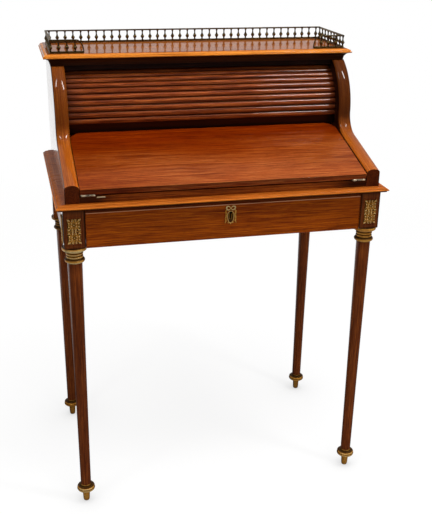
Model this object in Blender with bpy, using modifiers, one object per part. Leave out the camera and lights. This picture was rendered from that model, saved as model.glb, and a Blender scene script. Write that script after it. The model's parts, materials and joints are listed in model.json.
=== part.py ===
"""A lady's writing desk: turned legs, a frieze drawer, a sloped writing flap and a roll-up tambour."""

import math

import bmesh
import bpy
from mathutils import Matrix, Vector

# All sizes are in metres. X runs to the right, Y to the back and Z up from the floor.

# Clearances
SEAT_GAP = 0.0003            # between fixed faces that meet
SLIDE_GAP = 0.0015           # round the drawer front and beside the flap
PIVOT_GAP = 0.0004           # round the hinge knuckles and pins
GROOVE_GAP = 0.0005          # round the tambour in its grooves

# Base board
BASE_DEPTH = 0.471
BASE_HEIGHT = 0.768          # floor to the board's top
BASE_THICKNESS = 0.012
BASE_OVERHANG = 0.0205       # lip beyond each side panel
BASE_EDGE_WIDTH = 0.0145     # moulded edge, from the lip in to the flat top
BASE_EDGE_DROP = 0.0055      # moulded edge, from the flat top down to the lip
BASE_LIP = 0.0028

# Legs
LEG_INSET = 0.014            # block face behind the base board's lip
LEG_BLOCK = 0.046
LEG_BLOCK_HEIGHT = 0.0885
BACK_BLOCK_DROP = 0.065      # back legs' blocks below the front ones
LEG_TOP_DIAMETER = 0.033
LEG_ANKLE_DIAMETER = 0.0245
LEG_NECK_DIAMETER = 0.030
TENON_SHOULDER = 0.004

# Brass collar under each leg block
COLLAR_HEIGHT = 0.0365
COLLAR_WALL = 0.0022
COLLAR_FLANGE_PROJECTION = 0.0097
COLLAR_FLANGE_HEIGHT = 0.007
COLLAR_RING_PROJECTION = 0.0048
COLLAR_RING_HEIGHT = 0.0096
COLLAR_RIB_PROJECTION = 0.0012
COLLAR_RIB_HEIGHT = 0.003

# Brass foot under each leg
FOOT_HEIGHT = 0.050
FOOT_RIM = 0.0015            # cup beyond the leg's ankle
FOOT_RING_PROJECTION = 0.0077
FOOT_RING_HEIGHT = 0.0075
FOOT_PEG_HEIGHT = 0.0305
FOOT_PEG_DIAMETER = 0.017
FOOT_PEG_TAPER = 0.002
FOOT_SOCKET_DEPTH = 0.018

# Brass plaques on the front leg blocks
PLAQUE_WIDTH = 0.030
PLAQUE_HEIGHT = 0.060
PLAQUE_THICKNESS = 0.0025
PLAQUE_BEVEL = 0.0008
PLAQUE_DROP = 0.0035         # plaque's middle below the block's

# Frieze rails and drawer runners
RAIL_THICKNESS = 0.018
RAIL_RECESS = 0.003          # rail face behind the leg blocks' faces
RUNNER_THICKNESS = 0.008
RUNNER_RISE = 0.004          # runner above the frieze's lower edge
RUNNER_REACH = 0.012         # runner under the drawer side
GUIDE_HEIGHT = 0.016

# Drawer
DRAWER_FRONT_THICKNESS = 0.020
DRAWER_FRONT_RECESS = 0.002  # drawer face behind the leg blocks' faces
DRAWER_WALL = 0.010
DRAWER_WALL_HEIGHT = 0.050
DRAWER_BOTTOM_THICKNESS = 0.006
DRAWER_BOTTOM_RISE = 0.008
DRAWER_BOTTOM_GROOVE = 0.004
DRAWER_BACK_SPACE = 0.018

# Drawer lock
KEYHOLE_OFFSET = 0.006       # keyhole to the right of the drawer's middle
KEYHOLE_DROP = 0.029         # keyhole below the base board
KEYHOLE_DIAMETER = 0.0064
KEYHOLE_SLOT_WIDTH = 0.003
KEYHOLE_SLOT_DEPTH = 0.013
LOCK_WIDTH = 0.050
LOCK_HEIGHT = 0.042
LOCK_THICKNESS = 0.011
LOCK_KEY_DEPTH = 0.005
BOLT_WIDTH = 0.014
BOLT_THICKNESS = 0.006
BOLT_LENGTH = 0.020
BOLT_TRAVEL = 0.0085
BOLT_DROP = 0.0008           # bolt below the lock's top at rest

# Escutcheon: an oval shield under a ribbon bow, with a garland at each side
SHIELD_WIDTH = 0.016
SHIELD_HEIGHT = 0.034
SHIELD_DROP = 0.009          # shield's middle below the keyhole
BOW_WIDTH = 0.013
BOW_HEIGHT = 0.009
GARLAND_WIDTH = 0.006
GARLAND_HEIGHT = 0.029
ESCUTCHEON_THICKNESS = 0.0025

# Upper case
CASE_WIDTH = 0.707
CASE_HEIGHT = 0.2445         # base board to top board
CASE_FRONT_SETBACK = 0.0152  # side panels behind the base board's lip
CASE_BACK_SETBACK = 0.0065
PANEL_THICKNESS = 0.0305
PANEL_FRONT_HEIGHT = 0.040
PANEL_CROWN = 0.0045         # rise of the rounded front edge
PANEL_REVEAL = 0.0315        # front edge in front of the tambour
BACK_PANEL_THICKNESS = 0.0065

# Top board
TOP_THICKNESS = 0.0265
TOP_OVERHANG = 0.0162
TOP_EDGE_WIDTH = 0.011
TOP_EDGE_DROP = 0.0065
TOP_LIP = 0.003
TOP_RAIL_HEIGHT = 0.011
TOP_RAIL_THICKNESS = 0.012

# Brass gallery
GALLERY_INSET = 0.0189       # middle of the gallery behind the top board's lip
GALLERY_HEIGHT = 0.0305
GALLERY_RAIL_WIDTH = 0.0052
GALLERY_RAIL_HEIGHT = 0.0024
GALLERY_RETURN = 0.076       # front return from the corner to its swept end
GALLERY_SWEEP = 0.014        # length of the swept end
GALLERY_CORNER_SPACE = 0.008 # from a corner to its nearest spindles
SPINDLE_PITCH = 0.0193
SPINDLE_BULB = 0.0066
SPINDLE_NECK = 0.0024
SPINDLE_SINK = 0.0006        # spindle ends let into the rails

# Tambour
TAMBOUR_RADIUS = 0.106
TAMBOUR_BACK_GAP = 0.0115    # between the tambour's circle and the back panel
TAMBOUR_HEADROOM = 0.008
TAMBOUR_LOW_ANGLE = -20.0    # lead rail's lower edge, in degrees above the axis level
TAMBOUR_TAIL_ANGLE = 74.0    # canvas's upper edge
TAMBOUR_TRAVEL = 85.0
SLAT_COUNT = 9
SLAT_PITCH = 7.8             # degrees
SLAT_GAP = 0.3               # degrees between slats
SLAT_THICKNESS = 0.0075
SLAT_BEAD = 0.0055
CANVAS_THICKNESS = 0.0012
GROOVE_DEPTH = 0.006
SLAT_ENTRY = 0.005           # slat ends in the grooves

# Writing bed, flap and hinges
BED_THICKNESS = 0.015
BED_SETBACK = 0.002          # bed's front behind the side panels' fronts
FLAP_SLOPE = math.radians(16.5)
FLAP_THICKNESS = 0.014
FLAP_CORNER_RADIUS = 0.028
FLAP_TAMBOUR_GAP = 0.0015
LEATHER_THICKNESS = 0.001
LEATHER_MARGIN = 0.030
HINGE_LENGTH = 0.031
HINGE_LEAF_WIDTH = 0.016
HINGE_LEAF_THICKNESS = 0.0008
HINGE_KNUCKLE_DIAMETER = 0.0044
HINGE_PIN_DIAMETER = 0.0018
LEDGE_START = 0.060          # from the hinge, up the slope
LEDGE_LENGTH = 0.140
LEDGE_WIDTH = 0.010
LEDGE_HEIGHT = 0.008

# Pigeonholes behind the tambour
SHELF_RISE = 0.060           # shelf above the writing bed
SHELF_THICKNESS = 0.008
SHELF_FRONT = 0.071          # shelf's front edge ahead of the tambour's axis
DIVIDER_THICKNESS = 0.008
DIVIDER_SETBACK = 0.004

# Facets of round shapes
TURNED_SIDES = 20
SPINDLE_SIDES = 6
KNUCKLE_SIDES = 12
ARC_STEP = 5.0               # degrees

# Places worked out from the sizes
CASE_HALF = CASE_WIDTH / 2
PANEL_INNER = CASE_HALF - PANEL_THICKNESS
BASE_HALF = CASE_HALF + BASE_OVERHANG
BASE_BACK = BASE_DEPTH / 2
BASE_UNDER = BASE_HEIGHT - BASE_THICKNESS
BLOCK_TOP = BASE_UNDER - SEAT_GAP
BLOCK_UNDER = BLOCK_TOP - LEG_BLOCK_HEIGHT
LEG_X = BASE_HALF - LEG_INSET - LEG_BLOCK / 2
LEG_Y = BASE_BACK - LEG_INSET - LEG_BLOCK / 2
BLOCK_INNER = LEG_X - LEG_BLOCK / 2
BLOCK_FRONT = -LEG_Y - LEG_BLOCK / 2

CASE_FLOOR = BASE_HEIGHT + SEAT_GAP
CASE_TOP = BASE_HEIGHT + CASE_HEIGHT
CASE_FRONT = -BASE_BACK + CASE_FRONT_SETBACK
CASE_BACK = BASE_BACK - CASE_BACK_SETBACK
BACK_PANEL_FACE = CASE_BACK - BACK_PANEL_THICKNESS
AXIS_Y = BACK_PANEL_FACE - TAMBOUR_BACK_GAP - TAMBOUR_RADIUS
AXIS_Z = CASE_TOP - TAMBOUR_HEADROOM - TAMBOUR_RADIUS
CREST_RADIUS = TAMBOUR_RADIUS + PANEL_REVEAL
PANEL_TOP = CASE_TOP - SEAT_GAP
TOP_FRONT = AXIS_Y - math.sqrt(CREST_RADIUS**2 - (PANEL_TOP - AXIS_Z) ** 2)
TOP_HALF = CASE_HALF + TOP_OVERHANG
TOP_SURFACE = CASE_TOP + TOP_THICKNESS

BED_FRONT = CASE_FRONT + BED_SETBACK
BED_TOP = CASE_FLOOR + BED_THICKNESS
HINGE_OFFSET = HINGE_LEAF_THICKNESS + 1.5 * SEAT_GAP
HINGE_Y = BED_FRONT - PIVOT_GAP
HINGE_Z = BED_TOP + HINGE_OFFSET
FLAP_HALF = PANEL_INNER - SLIDE_GAP
FLAP_REACH = math.hypot(AXIS_Y - HINGE_Y, AXIS_Z - HINGE_Z) - TAMBOUR_RADIUS - FLAP_TAMBOUR_GAP
FLAP_LENGTH = math.sqrt(FLAP_REACH**2 - (HINGE_OFFSET + FLAP_THICKNESS) ** 2)

DRAWER_FACE = BLOCK_FRONT + DRAWER_FRONT_RECESS
DRAWER_FRONT_BACK = DRAWER_FACE + DRAWER_FRONT_THICKNESS
DRAWER_TOP = BASE_UNDER - SLIDE_GAP
DRAWER_HALF = BLOCK_INNER - SLIDE_GAP
BACK_RAIL_FACE = LEG_Y + LEG_BLOCK / 2 - RAIL_RECESS - RAIL_THICKNESS
DRAWER_END = BACK_RAIL_FACE - DRAWER_BACK_SPACE
RUNNER_TOP = BLOCK_UNDER + RUNNER_RISE + RUNNER_THICKNESS
DRAWER_LOW = RUNNER_TOP + SEAT_GAP
KEYHOLE_Z = BASE_UNDER - KEYHOLE_DROP

SIDES = {"left": -1, "right": 1}
ENDS = {"front": -1, "back": 1}


def remove_everything():
    """Empty the scene of objects."""
    for obj in list(bpy.data.objects):
        bpy.data.objects.remove(obj)


def new_collection(name):
    """A collection linked to the scene."""
    collection = bpy.data.collections.new(name)
    bpy.context.scene.collection.children.link(collection)
    return collection


remove_everything()
PARTS = new_collection("writing_desk")
CUTTERS = new_collection("cutters")


def new_material(name, color, roughness, metallic=0.0):
    """A Principled BSDF material."""
    material = bpy.data.materials.new(name)
    material.use_nodes = True
    shader = material.node_tree.nodes["Principled BSDF"]
    shader.inputs["Base Color"].default_value = (*color, 1.0)
    shader.inputs["Roughness"].default_value = roughness
    shader.inputs["Metallic"].default_value = metallic
    return material


MAHOGANY = new_material("mahogany", (0.30, 0.085, 0.025), 0.25)
DARK_MAHOGANY = new_material("dark_mahogany", (0.12, 0.032, 0.014), 0.25)
DRAWER_OAK = new_material("drawer_oak", (0.42, 0.27, 0.14), 0.6)
GILT_BRASS = new_material("gilt_brass", (0.55, 0.38, 0.13), 0.35, 1.0)
OLD_BRASS = new_material("old_brass", (0.22, 0.16, 0.07), 0.4, 1.0)
STEEL = new_material("steel", (0.45, 0.43, 0.40), 0.35, 1.0)
LEATHER = new_material("leather", (0.10, 0.03, 0.015), 0.55)
CANVAS = new_material("canvas", (0.35, 0.28, 0.18), 0.9)


def add_object(name, data, material=None):
    """An object in the desk's collection, or among the cutters if it has no material."""
    obj = bpy.data.objects.new(name, data)
    if material is None:
        CUTTERS.objects.link(obj)
        obj.hide_render = True
        obj.display_type = "WIRE"
    else:
        PARTS.objects.link(obj)
        data.materials.clear()
        data.materials.append(material)
    return obj


def box(name, low, high, material=None):
    """A box between two corners, with its origin at its middle."""
    low, high = Vector(low), Vector(high)
    bm = bmesh.new()
    bmesh.ops.create_cube(bm, size=1.0)
    bmesh.ops.scale(bm, vec=high - low, verts=bm.verts)
    mesh = bpy.data.meshes.new(name)
    bm.to_mesh(mesh)
    bm.free()
    obj = add_object(name, mesh, material)
    obj.location = (low + high) / 2
    return obj


def evaluated_mesh(obj):
    """A welded mesh of an object as its modifiers or its curve settings shape it."""
    bpy.context.view_layer.update()
    mesh = bpy.data.meshes.new_from_object(obj.evaluated_get(bpy.context.evaluated_depsgraph_get()))
    bm = bmesh.new()
    bm.from_mesh(mesh)
    bmesh.ops.remove_doubles(bm, verts=bm.verts, dist=1e-6)
    bmesh.ops.recalc_face_normals(bm, faces=bm.faces)
    bm.to_mesh(mesh)
    bm.free()
    return mesh


# Rotations that turn an outline's own (first, second, depth) axes to the axis it is pushed along
PUSH_AXES = {
    "X": Matrix(((0, 0, 1), (1, 0, 0), (0, 1, 0))).to_4x4(),
    "Y": Matrix(((1, 0, 0), (0, 0, -1), (0, 1, 0))).to_4x4(),
    "Z": Matrix.Identity(4),
}


def prism(name, outlines, axis, start, end, material=None):
    """Closed outlines, the first solid and the rest holes, pushed along X (y, z), Y (x, z) or Z (x, y)."""
    curve = bpy.data.curves.new(name, "CURVE")
    curve.dimensions = "2D"
    curve.fill_mode = "BOTH"
    curve.extrude = (end - start) / 2
    for outline in outlines:
        spline = curve.splines.new("POLY")
        spline.points.add(len(outline) - 1)
        spline.use_cyclic_u = True
        for point, place in zip(spline.points, outline):
            point.co = (*place, 0.0, 1.0)
    guide = add_object(name + "_outline", curve)
    mesh = evaluated_mesh(guide)
    bpy.data.objects.remove(guide)
    mesh.transform(PUSH_AXES[axis])
    obj = add_object(name, mesh, material)
    obj.location["XYZ".index(axis)] = (start + end) / 2
    return obj


def turned(name, profile, sides, material=None, ring=False):
    """A shape turned about Z from (radius, height) points down its outer side; a ring's profile closes."""
    count = len(profile)
    edges = [(i, i + 1) for i in range(count - 1)]
    if ring:
        edges.append((count - 1, 0))
    mesh = bpy.data.meshes.new(name)
    mesh.from_pydata([(radius, 0.0, height) for radius, height in profile], edges, [])
    obj = add_object(name, mesh, material)
    screw = obj.modifiers.new("Turning", "SCREW")
    screw.steps = sides
    screw.render_steps = sides
    screw.use_merge_vertices = True
    screw.merge_threshold = 1e-5
    return obj


def loft(name, rings, material):
    """A closed skin over a row of rings with equal point counts, capped at both ends."""
    bm = bmesh.new()
    loops = [[bm.verts.new(point) for point in ring] for ring in rings]
    for here, beyond in zip(loops, loops[1:]):
        for i in range(len(here)):
            j = (i + 1) % len(here)
            bm.faces.new((here[i], here[j], beyond[j], beyond[i]))
    bm.faces.new(loops[0])
    bm.faces.new(loops[-1])
    bmesh.ops.recalc_face_normals(bm, faces=bm.faces)
    mesh = bpy.data.meshes.new(name)
    bm.to_mesh(mesh)
    bm.free()
    return add_object(name, mesh, material)


def combine(obj, other, operation):
    """Join another object to this one, or cut it away."""
    boolean = obj.modifiers.new(other.name, "BOOLEAN")
    boolean.operation = operation
    boolean.solver = "EXACT"
    boolean.object = other


def merged(name, objects, material=None):
    """One mesh object from several separate ones, which are removed."""
    bpy.context.view_layer.update()
    bm = bmesh.new()
    for obj in objects:
        mesh = evaluated_mesh(obj)
        mesh.transform(obj.matrix_world)
        bm.from_mesh(mesh)
        bpy.data.objects.remove(obj)
    mesh = bpy.data.meshes.new(name)
    bm.to_mesh(mesh)
    bm.free()
    return add_object(name, mesh, material)


def rounded(obj, width):
    """Bevel every edge of a part."""
    bevel = obj.modifiers.new("Rounding", "BEVEL")
    bevel.width = width
    bevel.segments = 1
    bevel.limit_method = "ANGLE"


def arc(center, radius, start, end, step=ARC_STEP, count=None):
    """Points on an arc between two angles in degrees, both ends included."""
    count = count or max(2, math.ceil(abs(end - start) / step))
    angles = [math.radians(start + (end - start) * i / count) for i in range(count + 1)]
    return [(center[0] + radius * math.cos(a), center[1] + radius * math.sin(a)) for a in angles]


def ellipse(center, width, height, count=20):
    """Points round an ellipse."""
    angles = [math.tau * i / count for i in range(count)]
    return [(center[0] + width / 2 * math.cos(a), center[1] + height / 2 * math.sin(a)) for a in angles]


def add_axis(name, place, parent=None):
    """An empty on a joint's axis, which carries the pieces that move there."""
    empty = bpy.data.objects.new(name, None)
    PARTS.objects.link(empty)
    empty.location = place
    empty.parent = parent
    return empty


def hang(axis, place, *objects):
    """Put objects that stand in world places on an axis without moving them."""
    for obj in objects:
        obj.location -= Vector(place)
        obj.parent = axis


def leg_mesh(block_under):
    """A leg on its axis: a square block over a tapered round shaft with a tenon for the foot."""
    collar_low = block_under - SEAT_GAP - COLLAR_HEIGHT
    shoulder = FOOT_HEIGHT + SEAT_GAP
    neck = LEG_NECK_DIAMETER / 2
    ankle = LEG_ANKLE_DIAMETER / 2
    tenon = ankle - TENON_SHOULDER
    tenon_end = FOOT_HEIGHT - FOOT_SOCKET_DEPTH + SEAT_GAP
    under_collar = collar_low - SEAT_GAP
    profile = [
        (0.0, BLOCK_TOP - LEG_BLOCK_HEIGHT / 2),
        (neck, BLOCK_TOP - LEG_BLOCK_HEIGHT / 2),
        (neck, under_collar),
        (LEG_TOP_DIAMETER / 2, under_collar),
        (ankle, shoulder),
        (tenon, shoulder),
        (tenon, tenon_end),
        (0.0, tenon_end),
    ]
    half = LEG_BLOCK / 2
    block = box("leg_block", (-half, -half, block_under), (half, half, BLOCK_TOP))
    shaft = turned("leg_shaft", profile, TURNED_SIDES)
    combine(block, shaft, "UNION")
    mesh = evaluated_mesh(block)
    mesh.transform(Matrix.Translation(block.location))
    bpy.data.objects.remove(block)
    bpy.data.objects.remove(shaft)
    return mesh


def leg_places():
    """Each leg's name and axis, and how far its block comes down below a front one."""
    return [
        (f"{end}_{side}", side_sign * LEG_X, end_sign * LEG_Y, BACK_BLOCK_DROP if end == "back" else 0.0)
        for end, end_sign in ENDS.items()
        for side, side_sign in SIDES.items()
    ]


def make_legs():
    """Four legs; the back ones have longer blocks."""
    meshes = {drop: leg_mesh(BLOCK_UNDER - drop) for drop in (0.0, BACK_BLOCK_DROP)}
    for name, x, y, drop in leg_places():
        leg = add_object("leg_" + name, meshes[drop], DARK_MAHOGANY)
        leg.location = (x, y, 0.0)


def make_collars():
    """A turned brass collar under each leg block: flange, ribbed neck and ring."""
    bore = LEG_NECK_DIAMETER / 2 + SEAT_GAP
    neck = bore + COLLAR_WALL
    top = BLOCK_UNDER - SEAT_GAP
    low = top - COLLAR_HEIGHT
    flange_low = top - COLLAR_FLANGE_HEIGHT
    ring_middle = low + COLLAR_RING_HEIGHT / 2
    rib = (flange_low + low + COLLAR_RING_HEIGHT) / 2
    ring_points = arc((neck, ring_middle), 1.0, 60.0, -60.0, 30.0)
    ring_profile = [
        (neck + COLLAR_RING_PROJECTION * (a - neck), ring_middle + COLLAR_RING_HEIGHT / 2 * (b - ring_middle))
        for a, b in ring_points
    ]
    profile = [
        (neck + COLLAR_FLANGE_PROJECTION, top),
        (neck + COLLAR_FLANGE_PROJECTION, flange_low),
        (neck, rib + COLLAR_RIB_HEIGHT),
        (neck + COLLAR_RIB_PROJECTION, rib),
        (neck, rib - COLLAR_RIB_HEIGHT),
        *ring_profile,
        (neck, low),
        (bore, low),
        (bore, top),
    ]
    for name, x, y, drop in leg_places():
        collar = turned("leg_collar_" + name, profile, TURNED_SIDES, GILT_BRASS, ring=True)
        collar.location = (x, y, -drop)


def make_feet():
    """A turned brass foot under each leg: socket, ring and peg."""
    cup = LEG_ANKLE_DIAMETER / 2 + FOOT_RIM
    socket = LEG_ANKLE_DIAMETER / 2 - TENON_SHOULDER + SEAT_GAP
    ring = cup + FOOT_RING_PROJECTION
    peg = FOOT_PEG_DIAMETER / 2
    ring_middle = FOOT_PEG_HEIGHT + FOOT_RING_HEIGHT
    profile = [
        (cup, FOOT_HEIGHT),
        (cup, ring_middle + FOOT_RING_HEIGHT / 2),
        (ring - FOOT_RING_PROJECTION / 4, ring_middle + FOOT_RING_HEIGHT / 3),
        (ring, ring_middle),
        (ring - FOOT_RING_PROJECTION / 4, ring_middle - FOOT_RING_HEIGHT / 3),
        (cup, FOOT_PEG_HEIGHT + FOOT_RING_HEIGHT / 4),
        (peg, FOOT_PEG_HEIGHT),
        (peg - FOOT_PEG_TAPER, 0.0),
        (0.0, 0.0),
    ]
    socket_floor = FOOT_HEIGHT - FOOT_SOCKET_DEPTH
    profile = [(0.0, socket_floor), (socket, socket_floor), (socket, FOOT_HEIGHT), *profile]
    for name, x, y, _ in leg_places():
        foot = turned("leg_foot_" + name, profile, TURNED_SIDES, GILT_BRASS)
        foot.location = (x, y, 0.0)


def make_plaques():
    """Brass plaques on the front and outer faces of the front leg blocks."""
    middle = BLOCK_TOP - LEG_BLOCK_HEIGHT / 2 - PLAQUE_DROP
    low, high = middle - PLAQUE_HEIGHT / 2, middle + PLAQUE_HEIGHT / 2
    half = PLAQUE_WIDTH / 2
    near = LEG_BLOCK / 2 + SEAT_GAP
    far = near + PLAQUE_THICKNESS
    for side, sign in SIDES.items():
        x = sign * LEG_X
        front = box(
            "corner_plaque_front_" + side,
            (x - half, -LEG_Y - far, low),
            (x + half, -LEG_Y - near, high),
            GILT_BRASS,
        )
        inner, outer = sorted((x + sign * near, x + sign * far))
        outside = box(
            "corner_plaque_side_" + side,
            (inner, -LEG_Y - half, low),
            (outer, -LEG_Y + half, high),
            GILT_BRASS,
        )
        rounded(front, PLAQUE_BEVEL)
        rounded(outside, PLAQUE_BEVEL)


def make_frieze():
    """Side and back rails between the leg blocks, and the runners that carry the drawer."""
    rail_end = LEG_Y - LEG_BLOCK / 2 - SEAT_GAP
    rail_outer = LEG_X + LEG_BLOCK / 2 - RAIL_RECESS
    rail_inner = rail_outer - RAIL_THICKNESS
    for side, sign in SIDES.items():
        left, right = sorted((sign * rail_inner, sign * rail_outer))
        box("side_rail_" + side, (left, -rail_end, BLOCK_UNDER), (right, rail_end, BLOCK_TOP), MAHOGANY)
        guide = DRAWER_HALF + SEAT_GAP
        outside = rail_inner - SEAT_GAP
        section = [
            (DRAWER_HALF - RUNNER_REACH, RUNNER_TOP - RUNNER_THICKNESS),
            (outside, RUNNER_TOP - RUNNER_THICKNESS),
            (outside, RUNNER_TOP + GUIDE_HEIGHT),
            (guide, RUNNER_TOP + GUIDE_HEIGHT),
            (guide, RUNNER_TOP),
            (DRAWER_HALF - RUNNER_REACH, RUNNER_TOP),
        ]
        section = [(sign * x, z) for x, z in section]
        prism("drawer_runner_" + side, [section], "Y", -rail_end, rail_end, DRAWER_OAK)
    back_half = BLOCK_INNER - SEAT_GAP
    box(
        "back_rail",
        (-back_half, BACK_RAIL_FACE, BLOCK_UNDER),
        (back_half, BACK_RAIL_FACE + RAIL_THICKNESS, BLOCK_TOP),
        MAHOGANY,
    )


def keyhole_outline():
    """A round hole with a slot below it, in (x, z)."""
    radius = KEYHOLE_DIAMETER / 2
    half = KEYHOLE_SLOT_WIDTH / 2
    edge = math.degrees(math.acos(half / radius))
    slot_end = KEYHOLE_Z - KEYHOLE_SLOT_DEPTH
    points = arc((KEYHOLE_OFFSET, KEYHOLE_Z), radius, -edge, 180.0 + edge, 30.0)
    return [*points, (KEYHOLE_OFFSET - half, slot_end), (KEYHOLE_OFFSET + half, slot_end)]


def make_drawer():
    """The drawer: front, sides, back and bottom."""
    front = box(
        "drawer_front",
        (-DRAWER_HALF, DRAWER_FACE, BLOCK_UNDER),
        (DRAWER_HALF, DRAWER_FRONT_BACK, DRAWER_TOP),
        MAHOGANY,
    )
    keyhole = prism(
        "keyhole_cutter",
        [keyhole_outline()],
        "Y",
        DRAWER_FACE - DRAWER_FRONT_THICKNESS,
        DRAWER_FRONT_BACK + LOCK_KEY_DEPTH,
    )
    combine(front, keyhole, "DIFFERENCE")
    side_start = DRAWER_FRONT_BACK + SEAT_GAP
    side_top = DRAWER_LOW + DRAWER_WALL_HEIGHT
    inner = DRAWER_HALF - DRAWER_WALL
    groove_floor = inner + DRAWER_BOTTOM_GROOVE
    groove_low = DRAWER_LOW + DRAWER_BOTTOM_RISE
    groove_high = groove_low + DRAWER_BOTTOM_THICKNESS + 2 * SEAT_GAP
    pieces = [front]
    for side, sign in SIDES.items():
        section = [
            (inner, DRAWER_LOW),
            (DRAWER_HALF, DRAWER_LOW),
            (DRAWER_HALF, side_top),
            (inner, side_top),
            (inner, groove_high),
            (groove_floor, groove_high),
            (groove_floor, groove_low),
            (inner, groove_low),
        ]
        section = [(sign * x, z) for x, z in section]
        pieces.append(prism("drawer_side_" + side, [section], "Y", side_start, DRAWER_END, DRAWER_OAK))
    back_half = inner - SEAT_GAP
    bottom_half = groove_floor - SEAT_GAP
    bottom_low = groove_low + SEAT_GAP
    bottom_high = bottom_low + DRAWER_BOTTOM_THICKNESS
    pieces.append(box(
        "drawer_back",
        (-back_half, DRAWER_END - DRAWER_WALL, bottom_high + SEAT_GAP),
        (back_half, DRAWER_END, side_top),
        DRAWER_OAK,
    ))
    pieces.append(box(
        "drawer_bottom",
        (-bottom_half, side_start, bottom_low),
        (bottom_half, DRAWER_END, bottom_high),
        DRAWER_OAK,
    ))
    return pieces + [make_escutcheon(), make_lock_case(keyhole)]


def make_escutcheon():
    """The keyhole plate: an oval shield with a keyhole, a bow above it and a garland at each side."""
    back = DRAWER_FACE - SEAT_GAP
    front = back - ESCUTCHEON_THICKNESS
    shield_z = KEYHOLE_Z - SHIELD_DROP
    shield = ellipse((KEYHOLE_OFFSET, shield_z), SHIELD_WIDTH, SHIELD_HEIGHT)
    plate = prism("keyhole_escutcheon", [shield, keyhole_outline()], "Y", front, back, GILT_BRASS)
    bow_z = shield_z + SHIELD_HEIGHT / 2 + BOW_HEIGHT / 4
    lift = ESCUTCHEON_THICKNESS / 8
    for side, sign in SIDES.items():
        bow_x = KEYHOLE_OFFSET + sign * BOW_WIDTH * 0.45
        garland_x = KEYHOLE_OFFSET + sign * (SHIELD_WIDTH + GARLAND_WIDTH) * 0.46
        bow = ellipse((bow_x, bow_z), BOW_WIDTH, BOW_HEIGHT, 14)
        garland = ellipse((garland_x, shield_z), GARLAND_WIDTH, GARLAND_HEIGHT, 14)
        combine(plate, prism("bow_" + side, [bow], "Y", front + lift, back - lift), "UNION")
        combine(plate, prism("garland_" + side, [garland], "Y", front + lift, back - lift), "UNION")
    return plate


def lock_places():
    """The lock's front and back faces and its bolt's middle, in y, and its top."""
    front = DRAWER_FRONT_BACK + SEAT_GAP
    back = front + LOCK_THICKNESS
    return front, back, (front + back) / 2, DRAWER_TOP


def make_lock_case(keyhole):
    """The lock's case behind the drawer front, with a key pocket and a slot for the bolt."""
    front, back, middle, top = lock_places()
    left, right = KEYHOLE_OFFSET - LOCK_WIDTH / 2, KEYHOLE_OFFSET + LOCK_WIDTH / 2
    case = box("drawer_lock_case", (left, front, top - LOCK_HEIGHT), (right, back, top), STEEL)
    slot_half = BOLT_WIDTH / 2 + SEAT_GAP
    slot_depth = BOLT_THICKNESS / 2 + SEAT_GAP
    slot_floor = top - BOLT_DROP - BOLT_LENGTH - SEAT_GAP
    slot = box(
        "bolt_slot",
        (KEYHOLE_OFFSET - slot_half, middle - slot_depth, slot_floor),
        (KEYHOLE_OFFSET + slot_half, middle + slot_depth, top + BOLT_TRAVEL),
    )
    combine(case, keyhole, "DIFFERENCE")
    combine(case, slot, "DIFFERENCE")
    return case


def make_bolt():
    """The lock's bolt, drawn down in its slot."""
    _, _, middle, top = lock_places()
    high = top - BOLT_DROP
    return box(
        "drawer_lock_bolt",
        (KEYHOLE_OFFSET - BOLT_WIDTH / 2, middle - BOLT_THICKNESS / 2, high - BOLT_LENGTH),
        (KEYHOLE_OFFSET + BOLT_WIDTH / 2, middle + BOLT_THICKNESS / 2, high),
        STEEL,
    )


def moulded_board(name, half, front, back, profile):
    """A board with the same moulded edge on its front and sides, from (inset, height) points."""
    rings = [
        [
            (inset - half, front + inset, height),
            (half - inset, front + inset, height),
            (half - inset, back, height),
            (inset - half, back, height),
        ]
        for inset, height in profile
    ]
    return loft(name, rings, MAHOGANY)


def quarter_round(start, end, bulge_out, count=4):
    """Points on a quarter ellipse between two (inset, height) points, bulging out or hollowed in."""
    points = []
    for i in range(1, count):
        turn = math.pi / 2 * i / count
        along, rise = math.sin(turn), 1 - math.cos(turn)
        if not bulge_out:
            along, rise = rise, along
        points.append((start[0] + (end[0] - start[0]) * along, start[1] + (end[1] - start[1]) * rise))
    return [start, *points, end]


def make_base_board():
    """The moulded base board, with a mortise for the lock's bolt."""
    lip_top = BASE_HEIGHT - BASE_EDGE_DROP
    lip_low = lip_top - BASE_LIP
    profile = [
        (BASE_LIP, BASE_UNDER),
        (0.0, lip_low),
        *reversed(quarter_round((BASE_EDGE_WIDTH, BASE_HEIGHT), (0.0, lip_top), True)),
    ]
    board = moulded_board("base_board", BASE_HALF, -BASE_BACK, BASE_BACK, profile)
    _, _, middle, top = lock_places()
    half = BOLT_WIDTH / 2 + SLIDE_GAP
    depth = BOLT_THICKNESS / 2 + SLIDE_GAP
    mortise_top = top - BOLT_DROP + BOLT_TRAVEL + SLIDE_GAP
    left, right = KEYHOLE_OFFSET - half, KEYHOLE_OFFSET + half
    mortise = box("bolt_mortise", (left, middle - depth, top), (right, middle + depth, mortise_top))
    combine(board, mortise, "DIFFERENCE")


def make_top_board():
    """The moulded top board over a hollow moulding, and the rail below it."""
    lip_top = TOP_SURFACE - TOP_EDGE_DROP
    lip_low = lip_top - TOP_LIP
    profile = [
        *quarter_round((TOP_OVERHANG, CASE_TOP), (TOP_LIP / 2, lip_low), False),
        (0.0, lip_low),
        *reversed(quarter_round((TOP_EDGE_WIDTH, TOP_SURFACE), (0.0, lip_top), True)),
    ]
    moulded_board("top_board", TOP_HALF, TOP_FRONT, BASE_BACK, profile)
    rail_front = TOP_FRONT + TOP_OVERHANG
    half = PANEL_INNER - SEAT_GAP
    box(
        "top_front_rail",
        (-half, rail_front, PANEL_TOP - TOP_RAIL_HEIGHT),
        (half, rail_front + TOP_RAIL_THICKNESS, PANEL_TOP),
        MAHOGANY,
    )


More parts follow.
